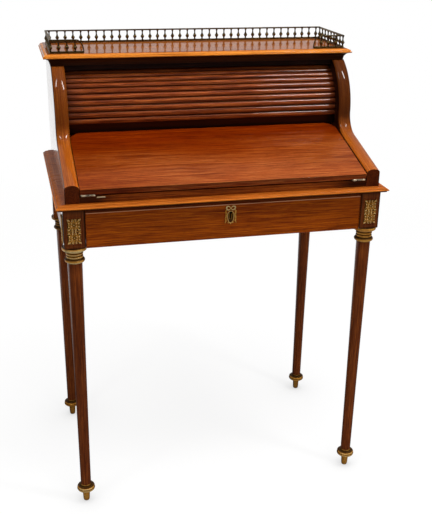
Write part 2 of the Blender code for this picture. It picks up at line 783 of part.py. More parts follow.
def panel_outline(drop):
    """The side panel's outline in (y, z), with its curved front edge drawn in by drop."""
    slope = math.tan(FLAP_SLOPE)
    crest = CASE_FLOOR + PANEL_FRONT_HEIGHT
    upright = AXIS_Y - CREST_RADIUS
    corner = crest + slope * (upright - CASE_FRONT)
    hollow = (AXIS_Z - corner) / math.tan((math.pi / 2 - FLAP_SLOPE) / 2)
    top_angle = math.degrees(math.asin((PANEL_TOP - AXIS_Z) / (CREST_RADIUS - drop)))
    return [
        (CASE_BACK, CASE_FLOOR),
        (CASE_FRONT, CASE_FLOOR),
        (CASE_FRONT, crest - drop / math.cos(FLAP_SLOPE)),
        *arc((upright - hollow, AXIS_Z), hollow + drop, math.degrees(FLAP_SLOPE) - 90.0, 0.0, count=7),
        *arc((AXIS_Y, AXIS_Z), CREST_RADIUS - drop, 180.0, 180.0 - top_angle, count=7)[1:],
        (CASE_BACK, PANEL_TOP),
    ]


def tambour_place(angle, radius):
    """A point at an angle in degrees up and over from the tambour's front, in (y, z) from its axis."""
    turn = math.radians(180.0 - angle)
    return radius * math.cos(turn), radius * math.sin(turn)


def tambour_arc(radius, start, end):
    """Points on an arc about the tambour's axis."""
    count = max(1, math.ceil(abs(end - start) / ARC_STEP))
    return [tambour_place(start + (end - start) * i / count, radius) for i in range(count + 1)]


def make_side_panels():
    """Two shaped side panels with a rounded front edge and a groove for the tambour."""
    layers = [i / 3 for i in range(-3, 4)]
    sweep_start = TAMBOUR_LOW_ANGLE - ARC_STEP
    sweep_end = TAMBOUR_TAIL_ANGLE + TAMBOUR_TRAVEL + ARC_STEP
    groove = tambour_arc(TAMBOUR_RADIUS + GROOVE_GAP, sweep_start, sweep_end)
    groove += tambour_arc(canvas_radius() - CANVAS_THICKNESS - GROOVE_GAP, sweep_end, sweep_start)
    groove = [(AXIS_Y + y, AXIS_Z + z) for y, z in groove]
    for side, sign in SIDES.items():
        rings = []
        for layer in layers:
            x = sign * (CASE_HALF - PANEL_THICKNESS * (1 - layer) / 2)
            rings.append([(x, y, z) for y, z in panel_outline(PANEL_CROWN * layer**2)])
        panel = loft("side_panel_" + side, rings, MAHOGANY)
        start, end = sorted((sign * (PANEL_INNER - GROOVE_DEPTH), sign * (PANEL_INNER + GROOVE_DEPTH)))
        combine(panel, prism("tambour_groove_" + side, [groove], "X", start, end), "DIFFERENCE")


def make_back_panel():
    """The panel that closes the upper case at the back."""
    half = PANEL_INNER - SEAT_GAP
    box("back_panel", (-half, BACK_PANEL_FACE, CASE_FLOOR), (half, CASE_BACK, PANEL_TOP), MAHOGANY)


def make_pigeonholes():
    """A shelf and a divider behind the tambour."""
    half = PANEL_INNER - SEAT_GAP
    back = BACK_PANEL_FACE - SEAT_GAP
    shelf_low = BED_TOP + SHELF_RISE
    front = AXIS_Y - SHELF_FRONT
    box("pigeonhole_shelf", (-half, front, shelf_low), (half, back, shelf_low + SHELF_THICKNESS), MAHOGANY)
    box(
        "pigeonhole_divider",
        (-DIVIDER_THICKNESS / 2, front + DIVIDER_SETBACK, BED_TOP + SEAT_GAP),
        (DIVIDER_THICKNESS / 2, back, shelf_low - SEAT_GAP),
        MAHOGANY,
    )


def canvas_radius():
    """The outer radius of the tambour's canvas."""
    return TAMBOUR_RADIUS - SLAT_THICKNESS - SEAT_GAP


def bead(start, end):
    """A half-round bead between two angles, from its upper to its lower edge."""
    root = TAMBOUR_RADIUS - SLAT_BEAD
    count = 8
    points = []
    for i in range(count + 1):
        turn = math.pi * i / count
        angle = end + (start - end) * (1 - math.cos(turn)) / 2
        points.append(tambour_place(angle, root + SLAT_BEAD * math.sin(turn)))
    return points


def make_tambour():
    """Half-round slats and a lead rail on a canvas, rolling about one axis."""
    place = (0.0, AXIS_Y, AXIS_Z)
    axis = add_axis("tambour_axis", place)
    half = PANEL_INNER + SLAT_ENTRY
    back = TAMBOUR_RADIUS - SLAT_THICKNESS
    first = TAMBOUR_TAIL_ANGLE - SLAT_PITCH * SLAT_COUNT - SLAT_PITCH / 2
    lead_bead = first - SLAT_PITCH
    lead_top = first - SLAT_GAP
    lead = tambour_arc(back, TAMBOUR_LOW_ANGLE, lead_top) + bead(lead_bead, lead_top)
    lead.append(tambour_place(TAMBOUR_LOW_ANGLE, TAMBOUR_RADIUS - SLAT_BEAD))
    pieces = [prism("tambour_lead_rail", [lead], "X", -half, half, DARK_MAHOGANY)]
    for number in range(SLAT_COUNT):
        start = first + SLAT_PITCH * number
        end = start + SLAT_PITCH - SLAT_GAP
        outline = tambour_arc(back, start, end) + bead(start, end)
        pieces.append(prism(f"tambour_slat_{number + 1}", [outline], "X", -half, half, DARK_MAHOGANY))
    outer = canvas_radius()
    canvas = tambour_arc(outer, TAMBOUR_LOW_ANGLE, TAMBOUR_TAIL_ANGLE)
    canvas += tambour_arc(outer - CANVAS_THICKNESS, TAMBOUR_TAIL_ANGLE, TAMBOUR_LOW_ANGLE)
    pieces.append(prism("tambour_canvas", [canvas], "X", -half, half, CANVAS))
    for piece in pieces:
        piece.parent = axis


def hinge_starts():
    """Each hinge's side and the x of its left end."""
    outer = FLAP_HALF - SLIDE_GAP
    return {"left": -outer, "right": outer - HINGE_LENGTH}


def make_bed():
    """The writing bed, notched along its front edge for the hinge knuckles."""
    half = PANEL_INNER - SEAT_GAP
    bed = box(
        "writing_bed",
        (-half, BED_FRONT, CASE_FLOOR),
        (half, BACK_PANEL_FACE - SEAT_GAP, BED_TOP),
        MAHOGANY,
    )
    notches = []
    radius = HINGE_KNUCKLE_DIAMETER / 2 + PIVOT_GAP
    for side, start in hinge_starts().items():
        outline = ellipse((HINGE_Y, HINGE_Z), 2 * radius, 2 * radius, KNUCKLE_SIDES)
        end = start + HINGE_LENGTH + PIVOT_GAP
        notch = prism("hinge_notch_" + side, [outline], "X", start - PIVOT_GAP, end)
        combine(bed, notch, "DIFFERENCE")
        notches.append(notch)
    return notches


def hinge_leaf(name, start, direction, knuckles, parent):
    """A hinge leaf behind the axis, over it (1) or under it (-1), with knuckles at the given thirds."""
    third = HINGE_LENGTH / 3
    clear = HINGE_KNUCKLE_DIAMETER / 2 + PIVOT_GAP
    near, far = sorted((direction * SEAT_GAP / 2, direction * (SEAT_GAP / 2 + HINGE_LEAF_THICKNESS)))
    leaf = box(name, (start, clear, near), (start + HINGE_LENGTH, HINGE_LEAF_WIDTH, far), GILT_BRASS)
    leaf.parent = parent
    barrel = ellipse((0.0, 0.0), HINGE_KNUCKLE_DIAMETER, HINGE_KNUCKLE_DIAMETER, KNUCKLE_SIDES)
    for knuckle in knuckles:
        low = start + third * knuckle + PIVOT_GAP / 2
        high = low + third - PIVOT_GAP
        tab = box(f"{name}_tab_{knuckle}", (low, 0.0, near), (high, 2 * clear, far))
        roll = prism(f"{name}_knuckle_{knuckle}", [barrel], "X", low, high)
        for piece in (tab, roll):
            piece.parent = parent
            combine(leaf, piece, "UNION")
    return leaf


def make_hinge(side, start, bed_frame, flap_frame):
    """A butt hinge: the bed leaf holds the pin in its end knuckles, and the flap leaf turns on it."""
    bed_leaf = hinge_leaf("hinge_leaf_bed_" + side, start, -1, (0, 2), bed_frame)
    flap_leaf = hinge_leaf("hinge_leaf_flap_" + side, start, 1, (1,), flap_frame)
    third = HINGE_LENGTH / 3
    pin_outline = ellipse((0.0, 0.0), HINGE_PIN_DIAMETER, HINGE_PIN_DIAMETER, KNUCKLE_SIDES)
    pin_start, pin_end = start + third / 2, start + HINGE_LENGTH - third / 2
    pin = prism(f"hinge_pin_{side}", [pin_outline], "X", pin_start, pin_end)
    bore_diameter = HINGE_PIN_DIAMETER + PIVOT_GAP
    bore_outline = ellipse((0.0, 0.0), bore_diameter, bore_diameter, KNUCKLE_SIDES)
    bore = prism(f"hinge_bore_{side}", [bore_outline], "X", pin_start, pin_end)
    pin.parent = bed_frame
    bore.parent = flap_frame
    combine(bed_leaf, pin, "UNION")
    combine(flap_leaf, bore, "DIFFERENCE")


def make_flap(notches):
    """The writing flap with its leather, two butt hinges and the ledges that it rests on."""
    place = (0.0, HINGE_Y, HINGE_Z)
    bed_frame = add_axis("hinge_line", place)
    frame = add_axis("flap_axis", place)
    frame.rotation_euler.x = FLAP_SLOPE
    corner = FLAP_CORNER_RADIUS
    rear = FLAP_LENGTH - corner
    outline = [
        (-FLAP_HALF, PIVOT_GAP),
        (FLAP_HALF, PIVOT_GAP),
        *arc((FLAP_HALF - corner, rear), corner, 0.0, 90.0, 15.0),
        *arc((corner - FLAP_HALF, rear), corner, 90.0, 180.0, 15.0),
    ]
    flap = prism("writing_flap", [outline], "Z", HINGE_OFFSET, HINGE_OFFSET + FLAP_THICKNESS, MAHOGANY)
    flap.parent = frame
    for notch in notches:
        combine(flap, notch, "DIFFERENCE")
    leather_half = FLAP_HALF - LEATHER_MARGIN
    leather_top = HINGE_OFFSET - SEAT_GAP
    leather = box(
        "flap_leather",
        (-leather_half, LEATHER_MARGIN, leather_top - LEATHER_THICKNESS),
        (leather_half, FLAP_LENGTH - LEATHER_MARGIN, leather_top),
        LEATHER,
    )
    leather.parent = frame
    for side, start in hinge_starts().items():
        make_hinge(side, start, bed_frame, frame)
    ledge_frame = add_axis("ledge_line", place)
    ledge_frame.rotation_euler.x = FLAP_SLOPE
    for side, sign in SIDES.items():
        wall = PANEL_INNER - SEAT_GAP
        left, right = sorted((sign * wall, sign * (wall - LEDGE_WIDTH)))
        ledge = box(
            "flap_ledge_" + side,
            (left, LEDGE_START, leather_top - LEDGE_HEIGHT),
            (right, LEDGE_START + LEDGE_LENGTH, leather_top),
            MAHOGANY,
        )
        ledge.parent = ledge_frame


def spindle_profile(low, high):
    """A baluster spindle's profile from its neck down over its bulb to its foot."""
    height = high - low
    neck = SPINDLE_NECK / 2
    return [
        (0.0, high),
        (neck, high),
        (neck, low + height * 0.62),
        (SPINDLE_BULB / 2, low + height * 0.43),
        (neck, low + height * 0.20),
        (neck, low),
        (0.0, low),
    ]


def rows(start, end):
    """Evenly spaced places between two ends, about a spindle's pitch apart, both ends included."""
    count = max(1, round((end - start) / SPINDLE_PITCH))
    return [start + (end - start) * i / count for i in range(count + 1)]


def make_gallery_run(name, rail_outline, top_outline, extra, places):
    """A gallery run: a bottom rail and a top rail of the given plans, joined by turned spindles."""
    low = TOP_SURFACE + SEAT_GAP
    rail_top = low + GALLERY_RAIL_HEIGHT
    high = low + GALLERY_HEIGHT
    top_low = high - GALLERY_RAIL_HEIGHT
    bottom_rail = prism(name + "_bottom", [rail_outline], "Z", low, rail_top)
    top_rail = prism(name + "_top", [top_outline], "Z", top_low, high)
    gallery = merged(name, [bottom_rail, top_rail], OLD_BRASS)
    spindles = []
    for number, (x, y) in enumerate(places):
        profile = spindle_profile(rail_top - SPINDLE_SINK, top_low + SPINDLE_SINK)
        spindle = turned(f"{name}_spindle_{number}", profile, SPINDLE_SIDES)
        spindle.location = (x, y, 0.0)
        spindles.append(spindle)
    combine(gallery, merged(name + "_spindles", spindles), "UNION")
    for piece in extra:
        combine(gallery, piece, "UNION")


def make_gallery():
    """The brass gallery: one run along the back, and a side with a swept front return at each end."""
    half_rail = GALLERY_RAIL_WIDTH / 2
    side_x = TOP_HALF - GALLERY_INSET
    front_y = TOP_FRONT + GALLERY_INSET
    back_y = BASE_BACK - GALLERY_INSET
    back_end = side_x + half_rail
    back_plan = [
        (-back_end, back_y - half_rail),
        (back_end, back_y - half_rail),
        (back_end, back_y + half_rail),
        (-back_end, back_y + half_rail),
    ]
    space = GALLERY_CORNER_SPACE
    back_places = [(x, back_y) for x in rows(space - side_x, side_x - space)]
    make_gallery_run("gallery_back", back_plan, back_plan, [], back_places)
    side_end = back_y - half_rail - SEAT_GAP
    straight = GALLERY_RETURN - GALLERY_SWEEP
    for side, sign in SIDES.items():
        def plan(length):
            corner = [
                (side_x + half_rail, side_end),
                (side_x - half_rail, side_end),
                (side_x - half_rail, front_y + half_rail),
                (side_x - length, front_y + half_rail),
                (side_x - length, front_y - half_rail),
                (side_x + half_rail, front_y - half_rail),
            ]
            return [(sign * x, y) for x, y in corner]

        start = side_x - straight + SPINDLE_SINK
        outline = [(sign * (start - x), z) for x, z in sweep_outline()]
        lift = SPINDLE_SINK / 2
        swept = prism(
            f"gallery_sweep_{side}",
            [outline],
            "Y",
            front_y - half_rail + lift,
            front_y + half_rail - lift,
        )
        places = [(sign * side_x, y) for y in rows(front_y + space, back_y - space)]
        places += [(sign * (side_x - x), front_y) for x in rows(space, straight - space / 2)]
        bottom_plan = plan(GALLERY_RETURN - GALLERY_RAIL_HEIGHT / 2)
        make_gallery_run("gallery_" + side, bottom_plan, plan(straight), [swept], places)


def sweep_outline():
    """The swept end of a front return: a quarter-oval band from the top rail down, in (length, z)."""
    low = TOP_SURFACE + SEAT_GAP + SPINDLE_SINK / 2
    height = GALLERY_HEIGHT - SPINDLE_SINK
    band = GALLERY_RAIL_HEIGHT - SPINDLE_SINK
    turns = [math.pi / 2 * i / 6 for i in range(7)]
    outer = [(GALLERY_SWEEP * math.sin(turn), low + height * math.cos(turn)) for turn in turns]
    inner_width, inner_height = GALLERY_SWEEP - band, height - band
    inner = [(inner_width * math.sin(turn), low + inner_height * math.cos(turn)) for turn in turns]
    return outer + inner[::-1]


def main():
    """Build the desk from its feet up."""
    make_legs()
    make_collars()
    make_feet()
    make_plaques()
    make_frieze()
    slide_place = (0.0, DRAWER_FACE, DRAWER_LOW)
    slide = add_axis("drawer_slide_axis", slide_place)
    hang(slide, slide_place, *make_drawer())
    bolt_place = Vector((KEYHOLE_OFFSET, lock_places()[2], DRAWER_TOP))
    bolt_slide = add_axis("lock_bolt_axis", bolt_place - Vector(slide_place), slide)
    hang(bolt_slide, bolt_place, make_bolt())
    make_base_board()
    make_side_panels()
    make_back_panel()
    make_top_board()
    make_pigeonholes()
    make_tambour()
    make_flap(make_bed())
    make_gallery()


main()
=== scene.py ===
"""The looks of a lady's writing desk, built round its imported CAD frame."""

import json
import math

import bmesh
import bpy
import numpy as np
from mathutils import Matrix, Vector


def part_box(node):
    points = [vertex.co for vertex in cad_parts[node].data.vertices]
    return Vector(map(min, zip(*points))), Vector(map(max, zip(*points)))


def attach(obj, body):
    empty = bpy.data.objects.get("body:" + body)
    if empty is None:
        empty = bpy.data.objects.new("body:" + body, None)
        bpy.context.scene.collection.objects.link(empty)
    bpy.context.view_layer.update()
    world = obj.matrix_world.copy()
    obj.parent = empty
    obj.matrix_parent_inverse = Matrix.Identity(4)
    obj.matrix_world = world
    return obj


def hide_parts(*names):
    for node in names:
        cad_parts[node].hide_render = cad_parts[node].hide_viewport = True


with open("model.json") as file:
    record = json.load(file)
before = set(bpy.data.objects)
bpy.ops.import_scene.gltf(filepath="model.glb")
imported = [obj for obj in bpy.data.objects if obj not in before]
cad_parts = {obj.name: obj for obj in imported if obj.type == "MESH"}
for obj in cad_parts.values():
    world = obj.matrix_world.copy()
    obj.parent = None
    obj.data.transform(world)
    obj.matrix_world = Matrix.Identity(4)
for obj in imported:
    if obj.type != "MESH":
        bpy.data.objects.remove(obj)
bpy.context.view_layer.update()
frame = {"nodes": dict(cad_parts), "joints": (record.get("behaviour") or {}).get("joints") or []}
JOINTS = {joint["name"]: joint for joint in frame["joints"]}

# Sizes in metres and angles in degrees, as in the CAD source
GAP = 0.0003
SLOPE = math.radians(16.5)
CREST_RADIUS = 0.1375
TAMBOUR_RADIUS = 0.106
SLAT_BEAD = 0.0055
SLAT_THICKNESS = 0.0075
SLAT_COUNT = 9
SLAT_PITCH = 7.8
SLAT_SPACE = 0.3
FIRST_SLAT = -0.1
LEAD_RAIL_START = -20.0
TAMBOUR_TAIL = 74.0
CLOTH_THICKNESS = 0.0012
GROOVE_DEPTH = 0.006
GROOVE_SPACE = 0.0005
GROOVE_ENDS = (LEAD_RAIL_START - 5, TAMBOUR_TAIL + 90)
PANEL_FRONT_HEIGHT = 0.040
PANEL_CROWN = 0.0045
FLAP_LIFT = 0.00125
FLAP_THICKNESS = 0.014
FLAP_CORNER = 0.028
FLAP_SPACE = 0.0015
PIVOT_GAP = 0.0004
KNUCKLE_RADIUS = 0.0022
LEAF_THICKNESS = 0.0008
LEAF_WIDTH = 0.016
KEYHOLE = (0.006, 0.727)
KEYHOLE_RADIUS = 0.0032
KEYHOLE_SLOT = (0.0015, 0.013)
DRAWER_BEAD = 0.7455
DRAWER_BEAD_RADIUS = 0.0011
SPINDLE_PITCH = 0.0193
GALLERY_INSET = 0.0189
GALLERY_RETURN = 0.076
GALLERY_SWEEP = 0.017
GALLERY_SPACE = 0.008
SIDES = {"left": -1, "right": 1}
LEGS = [f"{end}_{side}" for end in ("front", "back") for side in SIDES]

# Which side of turned brass gets a painted reflection, how much painted light each leg's brass gets, less on
# the back legs as painted shade, and how much painted shade darkens the wood
BRASS_LIT_SIDE = Vector((-0.17, -0.985))
BRASS_LIGHT = {"front_left": 1.0, "front_right": 0.8, "back_left": 0.35, "back_right": 0.35}
CREST_SHADE = {"left": 0.57, "right": 0.83}
BLOCK_SHADE = 0.85
BLOCK_TOP_SHADE = 0.88

PANEL_LOW, PANEL_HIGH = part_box("side_panel_right")
HINGE = Vector(JOINTS["flap_fold"]["pos_m"])
AXIS = Vector(JOINTS["tambour_roll"]["pos_m"])
FLAP_FRAME = Matrix.Translation(HINGE) @ Matrix.Rotation(SLOPE, 4, "X")


# Materials

def tone(rgb):
    """A display colour from 0 to 255 as the linear colour that a shader takes."""
    shares = [value / 255 for value in rgb]
    return [s / 12.92 if s <= 0.04045 else ((s + 0.055) / 1.055) ** 2.4 for s in shares]


def feed(socket, value):
    """Link a signal to a socket, or set the socket to a constant."""
    if isinstance(value, Signal):
        value.tree.links.new(value.socket, socket)
    else:
        socket.default_value = value


def add_node(tree, kind, inputs=None, output=0, **settings):
    """One output of a new node, as a signal."""
    node = tree.nodes.new(kind)
    for key, value in settings.items():
        setattr(node, key, value)
    for key, value in (inputs or {}).items():
        feed(node.inputs[key], value)
    return Signal(tree, node.outputs[output])


class Signal:
    """A node's output. Adding, subtracting or multiplying it makes a Math node."""

    def __init__(self, tree, socket):
        self.tree = tree
        self.socket = socket

    def node(self, kind, *inputs, **settings):
        """An output of a new node that takes this signal first."""
        return add_node(self.tree, kind, dict(enumerate((self, *inputs))), **settings)

    def math(self, operation, other=0.0):
        return self.node("ShaderNodeMath", other, operation=operation)

    def __add__(self, other):
        return self.math("ADD", other)

    def __sub__(self, other):
        return self.math("SUBTRACT", other)

    def __mul__(self, other):
        return self.math("MULTIPLY", other)

    def vector_math(self, operation, other):
        return self.node("ShaderNodeVectorMath", other, operation=operation)

    def axis(self, number):
        """One coordinate of a place."""
        return self.node("ShaderNodeSeparateXYZ", output=number)

    def remap(self, low, high, to_low=0.0, to_high=1.0):
        """The signal moved from one range to another, clamped."""
        return self.node("ShaderNodeMapRange", low, high, to_low, to_high)

    def noise(self, scale, detail=2.0, roughness=0.5):
        """Noise at this place, with its own scale on each axis, per metre."""
        place = self.vector_math("MULTIPLY", scale)
        inputs = {"Vector": place, "Scale": 1.0, "Detail": detail, "Roughness": roughness}
        return add_node(self.tree, "ShaderNodeTexNoise", inputs)

    def ramp(self, *stops):
        """A colour ramp's colour, from its (place, colour) stops."""
        color = self.node("ShaderNodeValToRGB")
        elements = color.socket.node.color_ramp.elements
        for place, _ in stops[1:-1]:
            elements.new(place)
        for element, (place, shade) in zip(elements, stops):
            element.position = place
            element.color = (*shade, 1.0)
        return color

    def mixed(self, factor, other, blend="MIX"):
        """This colour mixed with another."""
        other = other if isinstance(other, Signal) else (*other, 1.0)
        inputs = {0: factor, 6: self, 7: other}
        return add_node(self.tree, "ShaderNodeMix", inputs, 2, data_type="RGBA", blend_type=blend)


def new_material(name):
    """A material with a node tree."""
    material = bpy.data.materials.new(name)
    material.use_nodes = True
    return material, material.node_tree


def surface(material, inputs, height=None, relief=1.0, depth=0.001):
    """A material with its shader's inputs fed, embossed by a height."""
    tree = material.node_tree
    if height is not None:
        bump = {"Height": height, "Strength": relief, "Distance": depth}
        inputs["Normal"] = add_node(tree, "ShaderNodeBump", bump)
    for key, value in inputs.items():
        feed(tree.nodes["Principled BSDF"].inputs[key], value)
    return material


def rest_place(tree):
    """A point of the piece at rest."""
    return add_node(tree, "ShaderNodeTexCoord", output="Object")


def joined(tree, *parts):
    """A vector from its three parts."""
    return add_node(tree, "ShaderNodeCombineXYZ", dict(enumerate(parts)))


def own_place(tree):
    """A point of the piece at rest, shifted by a different amount on each piece."""
    shift = add_node(tree, "ShaderNodeObjectInfo", output="Random") * 13.0
    return rest_place(tree).vector_math("ADD", joined(tree, shift, shift, shift))


def grain_place(tree, grain):
    """A point as (along, across, across) for a grain along an axis, or along the piece's own."""
    if grain == "edge":
        return add_node(tree, "ShaderNodeAttribute", output="Vector", attribute_name="grain")
    place = own_place(tree)
    order = {"x": (0, 1, 2), "y": (1, 0, 2), "z": (2, 0, 1)}[grain]
    return joined(tree, *[place.axis(number) for number in order])


def painted(tree, name):
    """A piece's own attribute: lift lightens rubbed wood and raised brass, partly as painted highlights and
    reflections; the shade attribute is painted shade in hollows, under overhangs and on faces out of the
    light.
    """
    return add_node(tree, "ShaderNodeAttribute", output="Fac", attribute_name=name)


def wood(
    name, tones, roughness=0.3, coat=0.45, specular=0.2, pore=0.6, coat_roughness=0.06,
    spread=0.09, rear_shade=None, relief=1.0, painted_shading=True, ends=None,
):
    """Polished wood with streaks, patches, pores, rubbed edges lightened partly as a painted highlight, and
    painted shade.

    Its grain is the last word of its name. A rear shade paints shade between two places along Y and towards
    its left, and ends paint shade out to both sides.
    """
    dark, mid, light = [tone(rgb) for rgb in tones]
    # Painted shade darkens the wood towards this colour.
    shade_color = [c * 0.12 for c in dark]
    material, tree = new_material(name)
    place = grain_place(tree, name.split("_")[-1])
    drift = (place.noise((1.8, 5.0, 5.0)) - 0.5) * 0.014
    place = place.vector_math("ADD", joined(tree, 0.0, drift, drift))
    broad = place.noise((3.0, 80.0, 80.0), 3.0, 0.55)
    streak = place.noise((7.0, 420.0, 420.0), 3.0, 0.6)
    fine = place.noise((18.0, 1000.0, 1000.0), 2.0, 0.6)
    patch = place.noise((3.4, 15.0, 15.0), 3.0)
    wave = place.noise((9.0, 24.0, 24.0), 1.0)
    pores = place.noise((75.0, 1500.0, 1500.0), 1.0).remap(0.60, 0.70)
    grade = broad * 0.15 + streak * 0.45 + fine * 0.4
    color = grade.ramp((0.5 - spread, dark), (0.5, mid), (0.5 + spread, light))
    color = color.mixed(1.0, patch.remap(0.3, 0.7, 0.84, 1.16), "MULTIPLY")
    color = color.mixed(pores * pore, [c * 0.35 for c in dark])
    # Lift lightens rubbed edges, partly as a painted highlight.
    rubbed_and_highlit = painted(tree, "lift") * streak.remap(0.3, 0.62, 0.35, 1.0)
    color = color.mixed(rubbed_and_highlit, [min(1.0, c * 1.5) for c in light])
    rough = patch.remap(0.3, 0.7, roughness - 0.05, roughness + 0.05) + pores * 0.18
    if rear_shade:
        begin, end, shade_tint = rear_shade
        spot = rest_place(tree)
        slant = spot.axis(1) - spot.axis(0) * 0.08
        in_rear_shade = (slant + (patch - 0.5) * 0.25).remap(begin, end)
        in_rear_shade = in_rear_shade.math("MAXIMUM", spot.axis(0).remap(-0.3, -0.12, 0.5, 0.0))
        for _ in range(2):
            color = color.mixed(in_rear_shade, color.mixed(1.0, shade_tint, "MULTIPLY"))
    if ends:
        aside = rest_place(tree).axis(0).math("ABSOLUTE")
        color = color.mixed(aside.remap(*ends, 0.0, 0.8), shade_color)
    # The shade attribute paints shade into hollows and shadowed faces.
    if painted_shading:
        soil = painted(tree, "soil")
        color = color.mixed(soil, shade_color)
        rough = rough + soil * 0.4
    inputs = {
        "Base Color": color, "Roughness": rough, "Specular IOR Level": specular,
        "Coat Weight": coat, "Coat Roughness": coat_roughness,
    }
    return surface(material, inputs, fine * 0.015 + wave * 0.04 - pores * 0.02, relief)


def brass(name, bright, dull, patina, worn, roughness, metallic=0.9, scale=70.0):
    """Cast brass, cloudy and finely pitted: dark with patina and painted shade where its lift is low, worn
    pale and lit by painted reflections where high.
    """
    material, tree = new_material(name)
    place = own_place(tree)
    cloud = place.noise((scale, scale, scale), 3.0, 0.6)
    pits = place.noise((900.0, 900.0, 900.0), 2.0)
    lift = painted(tree, "lift")
    hidden = lift.remap(0.1, 0.6, 0.92, 0.0)
    color = cloud.ramp((0.34, tone(dull)), (0.62, tone(bright)))
    color = color.mixed(hidden, tone(patina))
    color = color.mixed(lift.remap(0.75, 1.0, 0.0, 0.85), tone(worn))
    color = color.mixed(pits.remap(0.62, 0.72, 0.0, 0.5), tone(patina))
    rough = cloud.remap(0.3, 0.7, roughness + 0.1, roughness - 0.04) + hidden * 0.25
    inputs = {"Base Color": color, "Roughness": rough, "Metallic": metallic, "Specular IOR Level": 0.2}
    return surface(material, inputs, pits * 0.03 + cloud * 0.08)


def steel(name):
    """Brushed old steel with brown spots."""
    material, tree = new_material(name)
    place = own_place(tree)
    brushed = place.noise((40.0, 900.0, 1600.0), 3.0)
    rust = place.noise((160.0, 160.0, 160.0), 4.0, 0.65).remap(0.58, 0.7, 0.0, 0.7)
    color = brushed.ramp((0.3, tone((105, 102, 98))), (0.7, tone((172, 168, 162))))
    color = color.mixed(rust, tone((84, 58, 40)))
    rough = brushed.remap(0.3, 0.7, 0.3, 0.42) + rust * 0.3
    return surface(material, {"Base Color": color, "Roughness": rough, "Metallic": 1.0}, brushed, 0.4, 0.0001)


def leather(name):
    """Worn skiver leather with a pebbled grain."""
    material, tree = new_material(name)
    place = rest_place(tree)
    cells = add_node(tree, "ShaderNodeTexVoronoi", {"Vector": place, "Scale": 750.0}, "Distance")
    cloud = place.noise((14.0, 14.0, 14.0), 4.0, 0.6)
    color = cloud.ramp((0.3, tone((58, 26, 18))), (0.55, tone((88, 40, 26))), (0.75, tone((112, 58, 38))))
    color = color.mixed(cells.remap(0.0, 0.5, 0.35, 0.0), tone((40, 18, 12)))
    rough = cloud.remap(0.3, 0.7, 0.5, 0.66)
    return surface(material, {"Base Color": color, "Roughness": rough}, cells, 0.5, 0.0004)


def canvas(name):
    """Plain-weave canvas."""
    material, tree = new_material(name)
    place = rest_place(tree)
    thread = {"Vector": place, "Scale": 220.0, "Distortion": 0.6, "Detail": 1.0}
    warp, weft = [add_node(tree, "ShaderNodeTexWave", thread, "Fac", bands_direction=axis) for axis in "XZ"]
    weave = warp.math("MAXIMUM", weft)
    cloud = place.noise((18.0, 18.0, 18.0), 4.0)
    color = cloud.ramp((0.3, tone((132, 112, 82))), (0.7, tone((172, 152, 118))))
    color = color.mixed(weave.remap(0.2, 0.9, 0.5, 0.0), tone((92, 74, 50)))
    return surface(material, {"Base Color": color, "Roughness": 0.92}, weave, 0.6, 0.0004)


# Dark, middle and light tones of each wood
MAHOGANY = ((94, 30, 1), (143, 57, 2), (180, 88, 6))
CASE = ((118, 48, 6), (160, 76, 14), (192, 108, 36))
TOP = ((118, 50, 6), (156, 78, 14), (196, 118, 40))
FLAP = ((112, 42, 11), (153, 69, 24), (183, 101, 46))
EDGE = ((118, 48, 4), (178, 84, 11), (216, 124, 36))
DARK = ((80, 31, 5), (120, 54, 13), (150, 78, 26))
END = ((54, 16, 2), (78, 28, 4), (106, 44, 10))
# Pale wood for the top run of the drawer's bead: a painted highlight.
BEAD = ((150, 84, 50), (176, 108, 70), (200, 140, 104))
BED = ((84, 32, 4), (122, 52, 8), (150, 74, 18))
# The side panels' inner faces, in painted shade.
SHADED_INNER = ((30, 11, 5), (48, 19, 8), (70, 30, 13))
SLAT = ((80, 28, 6), (136, 58, 18), (182, 94, 40))
SHADE = ((18, 7, 4), (30, 12, 7), (46, 20, 11))
OAK = ((122, 88, 52), (160, 122, 78), (186, 150, 104))
GLOSSY = {"roughness": 0.14, "coat": 1.0, "specular": 0.5, "coat_roughness": 0.03}
SATIN = {"coat": 0.2, "specular": 0.1}
RAW = {"roughness": 0.62, "coat": 0.0, "pore": 0.7}
# Painted shade over the flap's rear, which the tambour and top keep from the light, and towards its left,
# tinted by the last item.
FLAP_REAR_SHADE = (-0.16, -0.024, (0.68, 0.457, 0.0))
# Painted shade on the writing bed's front towards both ends, round the hinges.
BED_END_SHADE = (0.235, 0.285)
FINISHES = {
    "mahogany_x": (MAHOGANY, SATIN),
    "mahogany_y": (MAHOGANY, SATIN),
    "case_mahogany_y": (CASE, GLOSSY),
    "case_mahogany_edge": (EDGE, {"coat": 0.8, "specular": 0.1, "coat_roughness": 0.05, "relief": 0.3}),
    "inner_mahogany_y": (SHADED_INNER, SATIN),
    "base_mahogany_x": (CASE, {"coat": 0.12, "specular": 0.05}),
    "bed_mahogany_x": (BED, {**SATIN, "ends": BED_END_SHADE}),
    "bead_mahogany_x": (BEAD, {}),
    "flap_mahogany_x": (FLAP, {"coat": 0.3, "specular": 0.05, "coat_roughness": 0.1, "rear_shade": FLAP_REAR_SHADE}),
    "top_mahogany_x": (TOP, {"roughness": 0.1, "coat": 0.18, "coat_roughness": 0.02}),
    "shaded_mahogany_x": (SHADE, {"roughness": 0.45, "coat": 0.1}),
    "end_mahogany_y": (END, {"roughness": 0.42, "coat": 0.1, "specular": 0.1, "pore": 0.8}),
    "dark_mahogany_z": (DARK, {"coat": 0.8, "specular": 0.05, "coat_roughness": 0.05, "spread": 0.12}),
    "block_mahogany_z": (DARK, {**GLOSSY, "painted_shading": False}),
    "slat_mahogany_x": (SLAT, {"roughness": 0.22, "coat": 1.0, "coat_roughness": 0.035, "relief": 0.25}),
    "drawer_oak_x": (OAK, RAW),
    "drawer_oak_y": (OAK, RAW),
}
